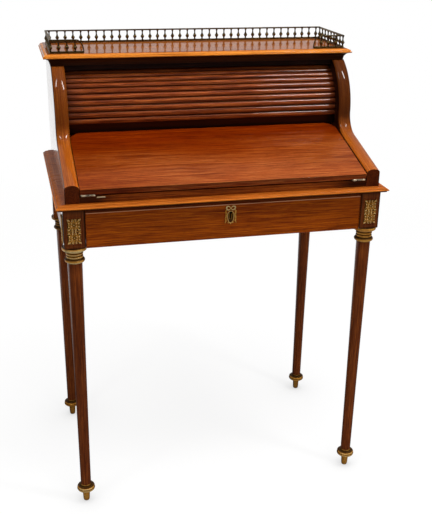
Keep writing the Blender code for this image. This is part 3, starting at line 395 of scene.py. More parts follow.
WOODS = {name: wood(name, tones, **finish) for name, (tones, finish) in FINISHES.items()}
GILT = brass("gilt_brass", (255, 184, 82), (214, 138, 46), (42, 17, 0), (255, 230, 164), 0.24, 0.3)
OLD_BRASS = brass("old_brass", (96, 76, 42), (58, 44, 22), (24, 17, 8), (116, 94, 54), 0.34)
# The hinge brass is dark with small near-white spots: painted glints.
HINGE_BRASS_GLINTS = brass(
    "hinge_brass", (250, 232, 200), (48, 33, 18), (30, 20, 10), (228, 202, 158), 0.2, 0.2, 260.0,
)
STEEL = steel("lock_steel")
LEATHER = leather("skiver_leather")
CANVAS = canvas("tambour_canvas_weave")


# Mesh helpers

def start():
    """A new mesh under construction, with its lift and painted-shade layers."""
    bm = bmesh.new()
    bm.verts.layers.float.new("lift")
    bm.verts.layers.float.new("soil")
    return bm


def paint(bm, verts, name, value):
    """Give vertices one value of lift or of painted shade."""
    for v in verts:
        v[bm.verts.layers.float[name]] = value


def vert(bm, place, lift=0.0, soil=0.0):
    """A vertex with its lift and painted shade."""
    new = bm.verts.new(place)
    paint(bm, [new], "lift", lift)
    paint(bm, [new], "soil", soil)
    return new


def smooth(mesh, angle):
    """Shade a mesh smooth but for its sharp edges."""
    mesh.shade_smooth()
    mesh.set_sharp_from_angle(angle=math.radians(angle))


def as_object(name, bm, materials, angle=38.0):
    """A mesh object in the scene, of one material or several."""
    bmesh.ops.recalc_face_normals(bm, faces=bm.faces)
    mesh = bpy.data.meshes.new(name)
    bm.to_mesh(mesh)
    bm.free()
    smooth(mesh, angle)
    for material in materials if isinstance(materials, list) else [materials]:
        mesh.materials.append(material)
    obj = bpy.data.objects.new(name, mesh)
    bpy.context.scene.collection.objects.link(obj)
    return obj


def carve(obj, cutter, operation="DIFFERENCE", angle=38.0):
    """Cut another object out of this one, or join it on, and remove it."""
    boolean = obj.modifiers.new("carving", "BOOLEAN")
    boolean.operation = operation
    boolean.solver = "EXACT"
    boolean.object = cutter
    bpy.context.view_layer.update()
    mesh = bpy.data.meshes.new_from_object(obj.evaluated_get(bpy.context.evaluated_depsgraph_get()))
    obj.modifiers.clear()
    mesh.name = obj.name
    obj.data = mesh
    bpy.data.objects.remove(cutter)
    smooth(mesh, angle)


def settle(obj, body, slot, *nodes):
    """A piece that rides on a body and stands for CAD nodes. Its slot is not used."""
    flat = obj.modifiers.new("flat_faces", "WEIGHTED_NORMAL")
    flat.weight = 100
    flat.keep_sharp = True
    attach(obj, body)
    if nodes:
        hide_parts(*nodes)
    return obj


def skin(bm, rings, closed=True, caps=True):
    """Faces between rings of vertices, with both ends capped."""
    faces = []
    for here, beyond in zip(rings, rings[1:]):
        for i in range(len(here) if closed else len(here) - 1):
            j = (i + 1) % len(here)
            faces.append(bm.faces.new((here[i], here[j], beyond[j], beyond[i])))
    if caps:
        faces += [bm.faces.new(rings[0]), bm.faces.new(rings[-1])]
    return faces


def lathe(bm, profile, sides, centre=(0.0, 0.0), loop=False):
    """A shape turned about a vertical line from (radius, height, lift) points."""
    rows = []
    for radius, height, lift in profile:
        angles = [math.tau * i / sides for i in range(sides if radius > 1e-6 else 1)]
        plan = [(centre[0] + radius * math.cos(a), centre[1] + radius * math.sin(a)) for a in angles]
        rows.append([vert(bm, (x, y, height), lift) for x, y in plan])
    for upper, lower in zip(rows, rows[1:] + rows[:1] if loop else rows[1:]):
        for i in range(sides):
            j = (i + 1) % sides
            corners = [row[k % len(row)] for row, k in ((upper, i), (upper, j), (lower, j), (lower, i))]
            corners = list(dict.fromkeys(corners))
            if len(corners) > 2:
                bm.faces.new(corners)


def flowing(points, per):
    """A smooth curve through points of any dimension."""
    points = np.array(points, float)
    padded = np.vstack([2 * points[0] - points[1], points, 2 * points[-1] - points[-2]])
    t = np.arange(per)[:, None] / per
    spans = []
    for a, b, c, d in zip(padded, padded[1:], padded[2:], padded[3:]):
        bend, twist = 2 * a - 5 * b + 4 * c - d, 3 * b - a - 3 * c + d
        spans.append(0.5 * (2 * b + (c - a) * t + bend * t**2 + twist * t**3))
    return [tuple(p) for p in np.vstack([*spans, points[-1:]])]


def rectangle(left, low, right, high):
    """A rectangle's corners."""
    return [(left, low), (right, low), (right, high), (left, high)]


def arc(center, radius, begin, end, count):
    """Points on an arc between two angles, both ends included."""
    angles = np.radians(np.linspace(begin, end, count + 1))
    return [(center[0] + radius * math.cos(a), center[1] + radius * math.sin(a)) for a in angles]


def tube(bm, points, radii, sides, lift, flatten=1.0):
    """A closed-ended tube along points, of one radius or several, squeezed along Y by flatten."""
    points = [Vector(p) for p in points]
    side = (points[1] - points[0]).normalized().orthogonal()
    rings = []
    for i, point in enumerate(points):
        ahead = (points[min(i + 1, len(points) - 1)] - points[max(i - 1, 0)]).normalized()
        side = (side - ahead * side.dot(ahead)).normalized()
        other = ahead.cross(side)
        radius = radii[i] if isinstance(radii, list) else radii
        ring = []
        for k in range(sides):
            turn = math.tau * k / sides
            offset = radius * (side * math.cos(turn) + other * math.sin(turn))
            offset.y -= offset.y * (1 - flatten)
            ring.append(vert(bm, point + offset, lift))
        rings.append(ring)
    return skin(bm, rings)


def blob(bm, center, radii, turn=0.0, count=10):
    """An ellipsoid, turned about Y."""
    matrix = Matrix.Translation(center) @ Matrix.Rotation(turn, 4, "Y") @ Matrix.Diagonal((*radii, 1.0))
    rows = count // 2 + 1
    made = bmesh.ops.create_uvsphere(bm, u_segments=count, v_segments=rows, radius=1.0, matrix=matrix)
    paint(bm, made["verts"], "lift", 1.0)


def rounded_box(bm, low, high, radius, segments=3, lift=0.6):
    """A box with rounded edges, a little rubbed and lightened as a painted highlight."""
    low, high = Vector(low), Vector(high)
    matrix = Matrix.Translation((low + high) / 2) @ Matrix.Diagonal((*(high - low), 1.0))
    made = bmesh.ops.create_cube(bm, size=1.0, matrix=matrix)
    edges = list({e for v in made["verts"] for e in v.link_edges})
    made = bmesh.ops.bevel(bm, geom=edges, offset=radius, segments=segments, profile=0.5, affect="EDGES")
    paint(bm, made["verts"], "lift", lift)


def extruded(bm, outline, matrix, begin, end, lift=0.0):
    """A closed (first, second) outline pushed along the matrix's third axis."""
    ends = [[matrix @ Vector((*point, depth)) for point in outline] for depth in (begin, end)]
    skin(bm, [[vert(bm, place, lift) for place in ring] for ring in ends])


# Frames whose third axis is X, Y or Z
ALONG_X = Matrix(((0, 0, 1), (1, 0, 0), (0, 1, 0))).to_4x4()
ALONG_Y = Matrix(((1, 0, 0), (0, 0, 1), (0, 1, 0))).to_4x4()
ALONG_Z = Matrix.Identity(4)


def plan_middle(node):
    """The middle of a CAD node, seen from above."""
    low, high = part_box(node)
    return (low.x + high.x) / 2, (low.y + high.y) / 2


def on_face(across, along, out, height):
    """A point along a block's face and out of it, where the face runs across X (0) or Y (1)."""
    return Vector((along, out, height) if across == 0 else (out, along, height))


def dress(material, *nodes, bevel=None):
    """A CAD node that keeps its shape, with a finer material and softened edges."""
    for name in nodes:
        obj = frame["nodes"][name]
        for slot in obj.material_slots:
            slot.material = material
        if bevel:
            modifier = obj.modifiers.new("softened", "BEVEL")
            modifier.width = bevel
            modifier.segments = 2
            modifier.limit_method = "ANGLE"


# Legs and their brass

def make_legs():
    """Four legs: a square block with a fine line cut round each plaque, and a turned tapering shaft."""
    woods = [WOODS["dark_mahogany_z"], WOODS["block_mahogany_z"]]
    for name in LEGS:
        at_front = name.startswith("front")
        low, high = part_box("leg_" + name)
        collar_low, collar_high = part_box("leg_collar_" + name)
        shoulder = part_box("leg_foot_" + name)[1].z
        under = collar_low.z - GAP
        bm = start()
        rounded_box(bm, (low.x, low.y, collar_high.z + GAP), high, 0.0011)
        bmesh.ops.recalc_face_normals(bm, faces=bm.faces)
        for face in bm.faces:
            face.material_index = int(abs(face.normal.x) > 0.9)
        # Painted shade on the front legs' blocks, deeper at their tops under the base board.
        paint(bm, bm.verts, "soil", BLOCK_SHADE * at_front)
        paint(bm, [v for v in bm.verts if v.co.z > high.z - 0.01], "soil", BLOCK_TOP_SHADE)
        leg = as_object(f"{name}_leg", bm, woods)
        head = high.z - 0.03
        shaft = [(0.0, head, 0.0), (0.015, head, 0.0), (0.015, under, 0.0), (0.0160, under, 0.2)]
        for t in np.linspace(0, 1, 24):
            radius = 0.0165 - 0.00425 * t - 0.0006 * math.sin(math.pi * t)
            shaft.append((radius, under - 0.0006 + (shoulder - under + 0.0012) * t, 0.0))
        shaft += [(0.0118, shoulder, 0.2), (0.0082, shoulder, 0.0), (0.0082, low.z, 0.0), (0.0, low.z, 0.0)]
        bm = start()
        lathe(bm, shaft, 48, plan_middle("leg_" + name))
        carve(leg, as_object("shaft", bm, woods[0]), "UNION")
        for face in ("front", "side") if at_front else ():
            carve(leg, plaque_line(face, name.split("_")[1]))
        settle(leg, "carcass", "dark_mahogany", "leg_" + name)


def plaque_line(face, side):
    """A cutter for the fine line round a plaque of a front leg: a closed rectangular ring."""
    margin, width, depth = 0.0022, 0.0007, 0.0006
    low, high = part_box(f"corner_plaque_{face}_{side}")
    across = 0 if face == "front" else 1
    out = 1 - across
    ground = low[out] - GAP if face == "side" and side == "right" else high[out] + GAP
    bm = start()
    rings = []
    for grow, push in rectangle(margin, -depth, margin + width, depth):
        # The line's walls carry the blocks' painted shade.
        corners = rectangle(low[across] - grow, low.z - grow, high[across] + grow, high.z + grow)
        rings.append([vert(bm, on_face(across, u, ground + push, z), 0.0, BLOCK_SHADE) for u, z in corners])
    skin(bm, [*rings, rings[0]], caps=False)
    return as_object("plaque_line", bm, WOODS["dark_mahogany_z"])


def make_turned_brass(name, node, profile, loop=False):
    """A turned brass piece on a leg, lightened on its front by a painted reflection and dulled round its
    sides by painted shade.
    """
    bm = start()
    lathe(bm, profile, 56, plan_middle(node), loop)
    lift = bm.verts.layers.float["lift"]
    middle = sum((v.co for v in bm.verts), Vector()) / len(bm.verts)
    for v in bm.verts:
        away = (v.co - middle).to_2d()
        facing = away.normalized().dot(BRASS_LIT_SIDE) if away.length > 1e-5 else 0.0
        v[lift] *= 0.2 + 0.8 * min(1.0, 1.5 * max(0.0, facing) ** 1.1)
    settle(as_object(name, bm, GILT, 50.0), "carcass", "gilt_brass", node)


def make_collars():
    """Turned brass collars: a broad flange, a neck of two beads and a heavy ring."""
    bore = 0.0153
    # Lift: the flange's top is dark as painted shade under the block, the beads are light at their crests,
    # and the ring lightens towards its bottom as a painted reflection.
    shape = [
        (0.0250, 0.0, 0.0), (0.0264, -0.0004, 0.1), (0.0271, -0.0018, 0.8), (0.0272, -0.0048, 1.0),
        (0.0266, -0.0070, 1.0), (0.0246, -0.0085, 1.0), (0.0218, -0.0098, 0.8), (0.0192, -0.0116, 0.3),
        (0.0180, -0.0132, 0.0),
    ]
    for middle, half in ((-0.0164, 0.0028), (-0.0230, 0.0029)):
        for t in np.linspace(0, 1, 9):
            swell = math.sin(math.pi * t)
            shape.append((0.0172 + 0.0017 * swell**0.7, middle + half * (1 - 2 * t), 0.05 + 0.95 * swell))
    for t in np.linspace(0, 1, 15):
        radius = 0.0176 + 0.0047 * math.sin(math.pi * t) ** 0.6
        shape.append((radius, -0.0266 - 0.0096 * t, min(1.0, 1.6 * t) ** 1.5))
    for name in LEGS:
        node = "leg_collar_" + name
        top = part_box(node)[1].z
        profile = [(radius, top + z, BRASS_LIGHT[name] * lift) for radius, z, lift in shape]
        profile += [(bore, top - 0.0362, 0.2), (bore, top, 0.2)]
        make_turned_brass(f"{name}_collar", node, profile, True)


def make_feet():
    """Turned brass feet: a heavy ring with a grooved shoulder, and a tapering peg."""
    # Lift: the ring's top is dark and two bands are bright as painted reflections; the groove is dark with
    # patina.
    shape = [
        (0.0, 0.0320, 0.0), (0.00855, 0.0320, 0.0), (0.00855, 0.0498, 0.0), (0.0122, 0.0498, 0.2),
        (0.0129, 0.0494, 0.4), (0.0133, 0.0482, 0.2), (0.0131, 0.0466, 0.0), (0.0137, 0.0450, 0.0),
        (0.0152, 0.0442, 0.0), (0.0172, 0.0438, 0.05), (0.0187, 0.0435, 0.2), (0.0199, 0.0428, 0.9),
        (0.0206, 0.0418, 1.0), (0.0209, 0.0405, 0.8), (0.0205, 0.0395, 0.0), (0.0210, 0.0387, 0.3),
        (0.0214, 0.0374, 1.0), (0.0214, 0.0359, 1.0), (0.0208, 0.0344, 0.4), (0.0195, 0.0331, 0.2),
        (0.0172, 0.0321, 0.1), (0.0140, 0.0315, 0.0), (0.0112, 0.0310, 0.0), (0.0095, 0.0304, 0.1),
        (0.0088, 0.0292, 0.5), (0.0086, 0.0270, 0.6), (0.0083, 0.0180, 0.6), (0.0079, 0.0090, 0.55),
        (0.0074, 0.0035, 0.5), (0.0066, 0.0013, 0.35), (0.0052, 0.0003, 0.2), (0.0, 0.0, 0.2),
    ]
    for name in LEGS:
        shown = 0.6 + 0.4 * BRASS_LIGHT[name]
        make_turned_brass(f"{name}_foot", "leg_foot_" + name, [(r, z, shown * lift) for r, z, lift in shape])


# Brass relief

def petal(across, up, base, tip, width, height, lobes):
    """The height of a leaf from base to tip, with a midrib groove, veins and lobed edges."""
    base, run = np.array(base), np.array(tip) - np.array(base)
    length = np.hypot(*run)
    along = ((across - base[0]) * run[0] + (up - base[1]) * run[1]) / length**2
    off = np.abs((across - base[0]) * run[1] - (up - base[1]) * run[0]) / length
    inside = np.clip(along, 0.0, 1.0)
    half = width * np.sin(math.pi * inside**0.75) ** 0.8
    half = half * (1 + 0.24 * np.cos(math.tau * lobes * inside - 2.2 * off / width))
    half = np.maximum(half, 1e-6)
    body = np.sqrt(np.clip(1 - (off / half) ** 2, 0.0, 1.0)) * (0.6 + 0.4 * inside)
    rib = 0.42 * np.exp(-((off / (0.16 * width)) ** 2)) * (inside < 0.92)
    veins = 0.12 * np.cos(9.0 * inside * length / width - 3.5 * off / width)
    shape = np.where((along > 0) & (along < 1) & (off < half), body * (1 - rib) + veins * body, 0.0)
    return height * np.clip(shape, 0.0, 1.2)


def cord_relief(across, up, points, radius, height):
    """The height of a round stem along points."""
    nearest = np.full(across.shape, 1e9)
    for (ax, az), (bx, bz) in zip(points, points[1:]):
        run = (bx - ax) ** 2 + (bz - az) ** 2
        t = np.clip(((across - ax) * (bx - ax) + (up - az) * (bz - az)) / max(run, 1e-12), 0, 1)
        nearest = np.minimum(nearest, np.hypot(across - ax - t * (bx - ax), up - az - t * (bz - az)))
    return height * np.sqrt(np.clip(1 - (nearest / radius) ** 2, 0.0, 1.0))


def dome(across, up, center, radius):
    """The height of a round boss."""
    return np.sqrt(np.clip(1 - ((across - center[0]) ** 2 + (up - center[1]) ** 2) / radius**2, 0.0, 1.0))


def spiral(center, begin_radius, turns, begin_angle):
    """Points of a scroll that winds in to its centre."""
    shares = np.linspace(0, 1, 26)
    angles = begin_angle + turns * math.tau * shares
    radii = begin_radius * (1 - 0.82 * shares)
    return [(center[0] + r * math.cos(a), center[1] + r * math.sin(a)) for r, a in zip(radii, angles)]


# Millimetres in a quarter of a rosette: the leaves' tips and widths, and the scrolls' middles, radii and ways
ROSETTE_LEAVES = (
    ((15.0, 14.6), 1.7), ((0.0, 14.2), 1.5), ((14.6, 0.0), 1.5), ((7.2, 14.4), 1.2), ((15.0, 7.0), 1.2),
)
ROSETTE_SCROLLS = (
    ((4.0, 9.4), 1.9, 1), ((11.4, 4.0), 1.8, -1), ((11.0, 11.2), 1.6, 1),
    ((5.4, 3.4), 1.5, -1), ((3.4, 13.4), 1.3, -1), ((13.6, 10.4), 1.2, 1),
)


def foliage(across, up):
    """A plaque's relief, in millimetres from its middle: two rosettes of leaves, and corner leaves."""
    side = np.abs(across)
    parts = []
    for middle in (15.2, -15.2):
        away = np.abs(up - middle)
        parts.append(dome(side, away, (0.0, 0.0), 1.7))
        for tip, width in ROSETTE_LEAVES:
            parts.append(petal(side, away, (tip[0] * 0.14, tip[1] * 0.14), tip, width, 0.95, 4))
        for centre, radius, way in ROSETTE_SCROLLS:
            parts.append(cord_relief(side, away, spiral(centre, radius, way * 1.3, way * 1.2), 0.66, 0.9))
            parts.append(dome(side, away, centre, 0.8))
    for corner in (29.9, -29.9):
        parts.append(petal(side, up, (9.5, corner * 0.74), (15.2, corner), 1.8, 1.0, 3))
    parts.append(cord_relief(side, up, [(0.0, 0.0), (5.0, 0.8), (10.0, -0.6), (14.6, 0.4)], 0.6, 0.8))
    return np.max(parts, axis=0)


def make_plaque(side, face):
    """A cast brass plaque of scrolling foliage on a front leg's block."""
    columns, rows, ground, rim_width = 72, 144, 0.0005, 0.0004
    node = f"corner_plaque_{face}_{side}"
    low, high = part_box(node)
    across = 0 if face == "front" else 1
    out = 1 - across
    outward = -1 if face == "front" else SIDES[side]
    # The side plaques get a painted sheen; the raised relief is lighter and the ground dark with patina.
    side_sheen = 0.25 * across
    back = high[out] if outward < 0 else low[out]
    half, tall = (high[across] - low[across]) / 2, 0.965 * (high.z - low.z) / 2
    u = np.linspace(-1, 1, columns + 1)[:, None]
    v = np.linspace(-1, 1, rows + 1)[None, :]
    wavy_sides = 1 - (0.05 + 0.03 * np.cos(8 * math.tau * v)) * (1 - v**6)
    wavy_ends = 1 - (0.03 + 0.015 * np.cos(4 * math.tau * u)) * (1 - u**6)
    x = (low[across] + high[across]) / 2 + half * u * wavy_sides
    z = (low.z + high.z) / 2 + tall * v * wavy_ends
    relief = foliage(1000 * half * u + 0 * v, 1000 * tall * v + 0 * u)
    relief = relief / relief.max()
    rim = np.minimum((1 - np.abs(u)) * half, (1 - np.abs(v)) * tall) / rim_width
    depth = back + outward * (ground + (high[out] - low[out] - ground) * relief * np.clip(rim, 0.35, 1.0))
    lift = np.minimum(1.0, side_sheen + 1.4 * relief**1.8)
    bm = start()
    grid = [
        [vert(bm, on_face(across, x[i, j], depth[i, j], z[i, j]), lift[i, j]) for j in range(rows + 1)]
        for i in range(columns + 1)
    ]
    skin(bm, grid, closed=False, caps=False)
    border = [column[0] for column in grid] + grid[-1][1:]
    border += [column[-1] for column in grid[-2::-1]] + grid[0][-2:0:-1]
    behind = []
    for corner in border:
        place = corner.co.copy()
        place[out] = back
        behind.append(vert(bm, place, 0.1))
    skin(bm, [border, behind], caps=False)
    bm.faces.new(behind)
    settle(as_object(f"{side}_{face}_plaque", bm, GILT, 60.0), "carcass", "gilt_brass", node)


def keyhole_outline(grow=0.0):
    """A round hole over a slot, in (x, z)."""
    radius, half = KEYHOLE_RADIUS + grow, KEYHOLE_SLOT[0] + grow
    edge = math.degrees(math.acos(half / radius))
    x, z = KEYHOLE
    foot = z - KEYHOLE_SLOT[1] - grow
    return arc(KEYHOLE, radius, -edge, 180.0 + edge, 20) + [(x - half, foot), (x + half, foot)]


def keyhole_cutter(low, high, material):
    """A cutter for the keyhole between two places along Y."""
    bm = start()
    extruded(bm, keyhole_outline(), ALONG_Y, low, high)
    return as_object("keyhole", bm, material)


def make_escutcheon():
    """The keyhole mount: a shield with a raised rim, a ribbon bow and a leafy garland at each side."""
    low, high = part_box("keyhole_escutcheon")
    back, front = high.y, low.y
    deep = back - front

    def at(x, depth, z):
        return KEYHOLE[0] + x, back - deep * depth, KEYHOLE[1] + z

    shield = []
    for a in np.linspace(0, math.tau, 40, endpoint=False):
        tall = 0.0100 if math.sin(a) > 0 else 0.0172
        x = 0.0072 * math.copysign(abs(math.cos(a)) ** 0.8, math.cos(a))
        shield.append((KEYHOLE[0] + x, KEYHOLE[1] - 0.006 + tall * math.sin(a)))
    bm = start()
    extruded(bm, shield, ALONG_Y, back - deep * 0.3, back, 0.2)
    rim = [(x, back - deep * 0.45, z) for x, z in shield]
    tube(bm, rim + rim[:2], 0.00105, 8, 1.0)
    hole_rim = [(x, back - deep * 0.36, z) for x, z in keyhole_outline(0.0008)]
    tube(bm, hole_rim + hole_rim[:1], 0.0007, 8, 1.0)
    for sign in (-1, 1):
        loop = []
        for a in np.linspace(0, math.tau, 26):
            rise = (1 - math.cos(a)) / 2
            z = 0.0104 + 0.0042 * math.sin(a) + 0.0016 * rise
            loop.append(at(sign * (0.0012 + 0.0088 * rise), 0.42 + 0.12 * math.sin(a / 2), z))
        tube(bm, loop, [0.0012 + 0.0006 * math.sin(t) for t in np.linspace(0, math.pi, 26)], 8, 1.0, 0.72)
        bends = ((0.0090, 0.0080), (0.0112, 0.0030), (0.0102, -0.0040), (0.0112, -0.0120), (0.0104, -0.0200))
        fall = flowing([at(sign * x, 0.4, z) for x, z in bends], 5)
        swell = [0.0011 + 0.0004 * math.sin(7 * t) for t in np.linspace(0, math.pi, len(fall))]
        tube(bm, fall, swell, 8, 0.7, 0.72)
        for x, y, z in fall[1:-1:2]:
            for way in (-1, 1):
                blob(bm, (x + way * 0.0012, y - 0.0002, z), (0.0008, 0.0008, 0.0016), -way * 0.8, 8)
        blob(bm, at(sign * 0.0118, 0.4, -0.0215), (0.0013, 0.0010, 0.0028), -sign * 0.5)
        blob(bm, at(sign * 0.0056, 0.4, -0.0226), (0.0013, 0.0010, 0.0024), sign * 0.7)
    blob(bm, at(0.0, 0.55, 0.0106), (0.0022, 0.0011, 0.0018))
    blob(bm, at(0.0, 0.4, -0.0246), (0.0018, 0.0010, 0.0026))
    mount = as_object("escutcheon", bm, GILT, 60.0)
    remesh = mount.modifiers.new("cast", "REMESH")
    remesh.mode = "VOXEL"
    remesh.voxel_size = 0.00024
    carve(mount, keyhole_cutter(front - 0.002, back + 0.002, GILT), angle=60.0)
    depth = np.array([(back - v.co.y) / deep for v in mount.data.vertices])
    layer = mount.data.attributes.get("lift") or mount.data.attributes.new("lift", "FLOAT", "POINT")
    layer.data.foreach_set("value", np.clip((depth - 0.45) / 0.42, 0.0, 1.0).astype(np.float32))
    settle(mount, "drawer", "gilt_brass", "keyhole_escutcheon")


# Case

def ovolo(inset, height, width, fall, lift):
    """A quarter round that falls outward, for a moulded board."""
    angles = np.linspace(0, math.pi / 2, 9)
    return [(inset + width * (1 - math.sin(a)), height - fall * (1 - math.cos(a)), lift) for a in angles]


def lip(width, height, half, dull, soil=0.0):
    """A half round for a moulded board, its top lightened by a painted highlight and its underside darkened
    by painted shade.
    """
    points = []
    for a in np.linspace(math.pi / 2, -math.pi / 2, 9):
        rise = math.sin(a)
        inset = width * (1 - math.cos(a))
        points.append((inset, height + half * rise, dull + (1 - dull) * rise, soil * (1 - rise)))
    return points


def moulded_board(name, material, node, profile):
    """A board moulded on its front and sides, from (inset, height, lift, painted shade) points, top first."""
    low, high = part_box(node)
    bm = start()
    rings = []
    for inset, height, *wear in profile[::-1]:
        corners = rectangle(inset - high.x, low.y + inset, high.x - inset, high.y)
        rings.append([vert(bm, (x, y, height), *wear) for x, y in corners])
    skin(bm, rings)
    return as_object(name, bm, material, 32.0)


def make_base_board():
    """The base board: a quirk, an ovolo and a rounded lip, with a mortise for the lock's bolt."""
    low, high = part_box("base_board")
    top = high.z
    # Painted shade in the quirk and under the lip, and a painted highlight along the lip's top.
    profile = [(0.0150, top, 0.0), (0.0138, top, 0.3), (0.0135, top - 0.0003, 0.6)]
    profile += [(0.0133, top - 0.0011, 0.0, 0.5), *ovolo(0.0030, top - 0.0012, 0.0102, 0.0040, 0.25)]
    profile += [(0.0022, top - 0.0052, 0.2, 0.2), *lip(0.0019, top - 0.0071, 0.0019, 0.7)]
    profile += [(0.0030, top - 0.0091, 0.0, 0.8), (0.0044, low.z, 0.0, 0.9)]
    board = moulded_board("base_board_moulded", WOODS["base_mahogany_x"], "base_board", profile)
    bolt_low, bolt_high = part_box("drawer_lock_bolt")
    room, rise = Vector((0.0015, 0.0015, 0.0)), Vector((0.0, 0.0, 0.010))
    bm = start()
    rounded_box(bm, bolt_low - room, bolt_high + rise + room, 0.0002, 1)
    carve(board, as_object("mortise", bm, WOODS["shaded_mahogany_x"]), angle=32.0)
    settle(board, "carcass", "mahogany", "base_board")


def make_top_board():
    """The top board: a rounded lip over a deep cove."""
    low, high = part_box("top_board")
    top, under = high.z, low.z
    lip_low = top - 0.0095
    # A painted highlight on the ovolo, and deep painted shade in the cove under the lip.
    profile = [(0.0115, top, 0.0), (0.0104, top, 0.3), (0.0101, top - 0.0003, 0.5)]
    profile += [(0.0100, top - 0.0009, 0.2), *ovolo(0.0022, top - 0.0010, 0.0078, 0.0050, 0.95)]
    profile += lip(0.0016, top - 0.0082, 0.0017, 0.6, 0.15)
    for a in np.linspace(math.pi / 2, 0, 13):
        height = under + 0.0010 + (lip_low - under - 0.0016) * math.sin(a)
        profile.append((0.0162 - 0.0140 * (1 - math.cos(a)), height, 0.0, 0.95))
    profile.append((0.0162, under, 0.0, 0.9))
    board = moulded_board("top_board_moulded", WOODS["top_mahogany_x"], "top_board", profile)
    settle(board, "carcass", "mahogany", "top_board")


def panel_outline(share):
    """A side panel's outline in (y, z) at a share of half its thickness, its curved front edge crowned."""
    drop = PANEL_CROWN * share**2 + 0.0022 * max(0.0, (abs(share) - 0.8) / 0.2) ** 2
    front, back, floor, top = PANEL_LOW.y, PANEL_HIGH.y, PANEL_LOW.z, PANEL_HIGH.z
    crest = floor + PANEL_FRONT_HEIGHT
    upright = AXIS.y - CREST_RADIUS
    corner = crest + math.tan(SLOPE) * (upright - front)
    hollow = (AXIS.z - corner) / math.tan((math.pi / 2 - SLOPE) / 2)
    top_angle = math.degrees(math.asin((top - AXIS.z) / (CREST_RADIUS - drop)))
    edge = [(front, crest - drop / math.cos(SLOPE))]
    edge += arc((upright - hollow, AXIS.z), hollow + drop, math.degrees(SLOPE) - 90.0, 0.0, 22)
    edge += arc((AXIS.y, AXIS.z), CREST_RADIUS - drop, 180.0, 180.0 - top_angle, 22)[1:]
    return [(back, floor), (front, floor), *edge, (back, top)]


def tambour_arc(radius, begin, end, count):
    """Points in (y, z) on an arc about the tambour's axis, by angles up and over from its front."""
    return arc((AXIS.y, AXIS.z), radius, 180.0 - begin, 180.0 - end, count)


def make_side_panels():
    """Shaped side panels: a rounded front edge veneered along its length, and a groove for the tambour."""
    half_shares = [0.2, 0.4, 0.62, 0.8, 0.88, 0.94, 0.98, 1]
    shares = [-share for share in half_shares[::-1]] + [0] + half_shares
    kinds = ("case_mahogany_y", "case_mahogany_edge", "end_mahogany_y", "inner_mahogany_y")
    woods = [WOODS[kind] for kind in kinds]
    inner, outer = PANEL_LOW.x, PANEL_HIGH.x
    groove_low = TAMBOUR_RADIUS - SLAT_THICKNESS - GAP - CLOTH_THICKNESS - GROOVE_SPACE
    groove = tambour_arc(TAMBOUR_RADIUS + GROOVE_SPACE, *GROOVE_ENDS, 60)
    groove += tambour_arc(groove_low, *GROOVE_ENDS[::-1], 60)
    for side, sign in SIDES.items():
        bm = start()
        grain = bm.verts.layers.float_vector.new("grain")
        rings = []
        for share in shares:
            x = sign * (inner + (outer - inner) * (1 + share) / 2)
            outline = panel_outline(share)
            steps = [0.0] + [math.dist(a, b) for a, b in zip(outline, outline[1:])]
            ring = []
            for (y, z), along in zip(outline, np.cumsum(steps)):
                # Painted shade on the upright part of the front edge under the top, and along its rounded
                # sides.
                upright = min(1.0, max(0.0, (z - PANEL_LOW.z - 0.07) / 0.05))
                painted_shading = 0.9 if 0.9 < share < 0.99 else CREST_SHADE[side] * upright
                new = vert(bm, (x, y, z), 0.3 * max(0.0, (abs(share) - 0.8) / 0.2), painted_shading)
                new[grain] = (along + sign, x + 3 * sign, 0.1 * share)
                ring.append(new)
            rings.append(ring)
        faces = skin(bm, rings)
        for face in faces[:-2]:
            middle = face.calc_center_median()
            if middle.z > PANEL_LOW.z + 1e-4 and middle.y < PANEL_HIGH.y - 0.03:
                face.material_index = 2 if abs(middle.y - PANEL_LOW.y) < 1e-5 else 1
        # The inner face is in painted shade.
        faces[-2].material_index = 3
        panel = as_object(f"{side}_side_panel", bm, woods, 34.0)
        bm = start()
        extruded(bm, groove, ALONG_X, *sorted((sign * (inner - GROOVE_DEPTH), sign * (inner + GROOVE_DEPTH))))
        carve(panel, as_object("groove", bm, WOODS["shaded_mahogany_x"]), angle=34.0)
        settle(panel, "carcass", "mahogany", f"side_panel_{side}")


# Tambour

def slat_bead(begin, end):
    """A half-round bead between two angles, from its upper to its lower edge, as (y, z, painted shade), the
    shade deepest in the gap under it.
    """
    points = []
    for turn in np.linspace(0, math.pi, 19):
        angle = end + (begin - end) * (1 - math.cos(turn)) / 2
        radius = TAMBOUR_RADIUS - SLAT_BEAD + SLAT_BEAD * math.sin(turn)
        points.append((*tambour_arc(radius, angle, angle, 0)[0], (1 - math.sin(turn)) ** 0.8))
    return points


def make_slat(name, outline, node):
    """A slat of the tambour, its ends shaded by the side panels."""
    low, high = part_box("tambour_slat_1")
    stations = [low.x + (high.x - low.x) * share**2 / 2 for share in np.linspace(0, 1, 9)]
    bm = start()
    rings = []
    for x in stations + [-x for x in stations[-2::-1]]:
        shaded = 0.75 * max(0.0, 1 - (high.x - abs(x)) / 0.045)
        rings.append([vert(bm, (x, y, z), 0.0, max(shaded, *soil, 0.0)) for y, z, *soil in outline])
    skin(bm, rings)
    settle(as_object(name, bm, WOODS["slat_mahogany_x"], 50.0), "tambour", "dark_mahogany", node)


